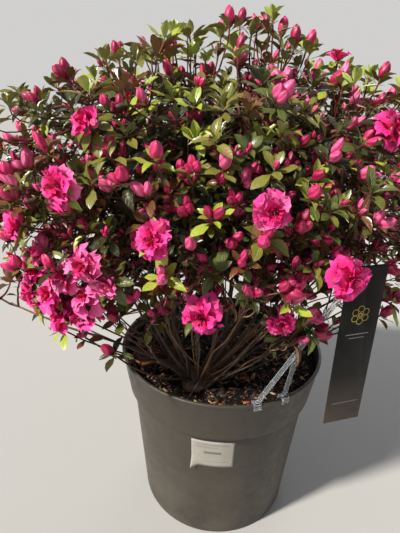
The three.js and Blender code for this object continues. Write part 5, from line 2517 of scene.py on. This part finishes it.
@dataclass
class Holder:
    """The clear moulded holder: two clips on the rim, channelled straps that meet, and the hook."""

    pot: Pot
    tag: SwingTag
    width: float = 0.009
    thick: float = 0.003
    fit: float = 0.00035
    clip_width: float = 0.016
    outer_foot: float = 0.418
    inner_foot: float = 0.414
    inset: float = 0.0034
    meeting: float = 0.43
    hook: float = 0.0042
    hook_reach: float = 0.007
    hook_rise: float = 0.0032
    head: Point = (0, 0.012, 0.012)
    bearings: tuple[float, float] = (radians(-75), radians(-60))
    clear: ClearPlastic = ClearPlastic("Holder clear plastic", "f2f7fa", "d8e2ea")

    @staticmethod
    def strap(start: Vec, end: Vec, width: float, thick: float, flat: Vec, channel: bool = False) -> Object:
        """A bar from one point to another, with soft edges and, if asked, a channel down its outer face.

        Args:
            start: one end, in metres.
            end: the other.
            width: its width.
            thick: its thickness.
            flat: roughly which way its broad face looks.
            channel: whether a channel runs down it.

        Returns:
            Its object.
        """
        along = unit(end - start)
        bar = Model("strap").box((width, thick, float(np.linalg.norm(end - start))))
        if channel:
            with bar.editing():
                bar.pick(lambda co: co.y > 0)
                bpy.ops.mesh.inset(thickness=width * 0.24, depth=-thick * 0.4)
        bar.modify("BEVEL", width=thick * 0.16, segments=2, limit_method="ANGLE")
        y = across(along, flat)
        turn = np.stack([np.cross(y, along), y, along])
        return bar.remap(lambda points: points @ turn + (start + end) / 2).shape

    def build(self) -> None:
        """Builds and joins every part of the holder."""
        thick, hang, facing = self.thick, np.array(self.tag.hang), unit(vec(0, -1, 0.3))
        top = self.pot.height + self.fit + thick / 2
        out, inside = self.pot.lip + self.fit + thick / 2, self.pot.collar - self.pot.wall - self.inset - thick / 2
        parts: list[Object] = []
        for bearing in self.bearings:
            for (low, z), (high, z_end), flat, channel in (
                ((out, self.outer_foot), (out, top + thick / 2), around(bearing), True),
                ((inside - thick / 2, top), (out + thick / 2, top), UP, False),
                ((inside, self.inner_foot), (inside, top + thick / 2), around(bearing), False),
            ):
                ends = around(bearing, low, z), around(bearing, high, z_end)
                parts.append(self.strap(*ends, self.clip_width, thick, flat, channel))
        near, far = (around(bearing, self.pot.lip - 0.004, top) for bearing in self.bearings)
        head = hang + vec(*self.head)
        nose = hang + vec(0, -self.hook_reach, self.tag.hole - self.hook_rise)
        heel = vec(nose[0], head[1], nose[2])
        parts += [
            self.strap(near, head, self.width, thick, facing, True),
            self.strap(far, near + (head - near) * self.meeting, self.width, thick, facing, True),
            self.strap(heel - vec(0, 0, 0.0022), head, self.width, thick, vec(0, -1, 0)),
            self.strap(heel, nose, self.hook, self.hook, UP),
        ]
        dress(Model("holder_clear", *parts).smooth(30).shape, self.clear, "clear_plastic", "tag_holder")


# Studio


class Lamp(Enum):
    """The soft lights: place, spread (an angle, or a side in metres), power and colour."""

    SUN = ((-2.8, -1.7, 3.8), radians(5), 6.4, (1.0, 0.965, 0.91))
    AREA = ((1.2, 2.8, 2.0), 2.4, 34, (1.0, 0.98, 0.95))

    def hang(self) -> None:
        """Hangs the light, so that it looks at the plant."""
        data = bpy.data.lights.new(self.name.lower(), self.name)
        at, spread, data.energy, data.color = self.value
        setattr(data, "angle" if self is Lamp.SUN else "size", spread)
        light = in_scene(data.name, data)
        light.location = at
        light.rotation_euler = (Vector((0, 0, 0.7)) - Vector(at)).to_track_quat("-Z", "Y").to_euler()


@dataclass
class Studio:
    """A pale floor, soft lights and the camera."""

    place: Point = (-0.058, -0.850, 0.965)
    pitch: float = radians(-22)
    roll: float = radians(1.9)
    lens: float = 27.02
    side: float = 60
    sky: tuple[float, ...] = (0.33, 0.35, 0.39, 1)
    backdrop: tuple[float, ...] = (0.63, 0.625, 0.615, 1)
    floor: Grained = Grained("Studio floor", "a3a19d", "a3a19d", 0.85, 2.0, 0.5, 300.0)

    def build(self) -> None:
        """Sets up floor, lights and camera."""
        self.lay_floor()
        for lamp in Lamp:
            lamp.hang()
        self.light_world()
        self.set_camera()

    def lay_floor(self) -> None:
        """A plane wide enough to fill the view from every side, just below the pot's underside."""
        floor = Model("floor").grid(1, 1, self.side, self.side, (0, -self.side / 2, -0.0005))
        floor.shape.data.materials.append(self.floor.material())

    def light_world(self) -> None:
        """A dim, even sky that the camera sees as a pale backdrop, and colours shown as they are."""
        world = bpy.data.worlds.new("studio")
        world.use_nodes = True
        w = Wiring(world.node_tree)
        seen = w.out("LightPath", {}, "Is Camera Ray")
        w.join(w.blend(seen, self.sky, self.backdrop), world.node_tree.nodes["Background"].inputs[0])
        bpy.context.scene.world = world
        bpy.context.scene.view_settings.view_transform = "Standard"

    def set_camera(self) -> None:
        """The photograph's view."""
        data = bpy.data.cameras.new("camera")
        data.sensor_width, data.lens, data.clip_start = 36, self.lens, 0.02
        camera = in_scene("camera", data)
        camera.location = self.place
        turn = Euler((pi / 2 + self.pitch, 0, 0)).to_matrix() @ Matrix.Rotation(self.roll, 3, "Z")
        camera.rotation_euler = turn.to_euler()
        bpy.context.scene.camera = camera


def main() -> None:
    """Builds every sub-assembly in order."""
    logging.basicConfig(level=logging.INFO, format="%(name)s: %(message)s", stream=sys.stdout)
    growth, pot, tag = Growth(), Pot(), SwingTag()
    growth.grow()
    for part in (pot, Bed(), Wood(growth), Foliage(growth), Sticker(pot), tag, Holder(pot, tag), Studio()):
        part.build()
        LOG.info("built %s", type(part).__name__)


if __name__ == "__main__":
    main()
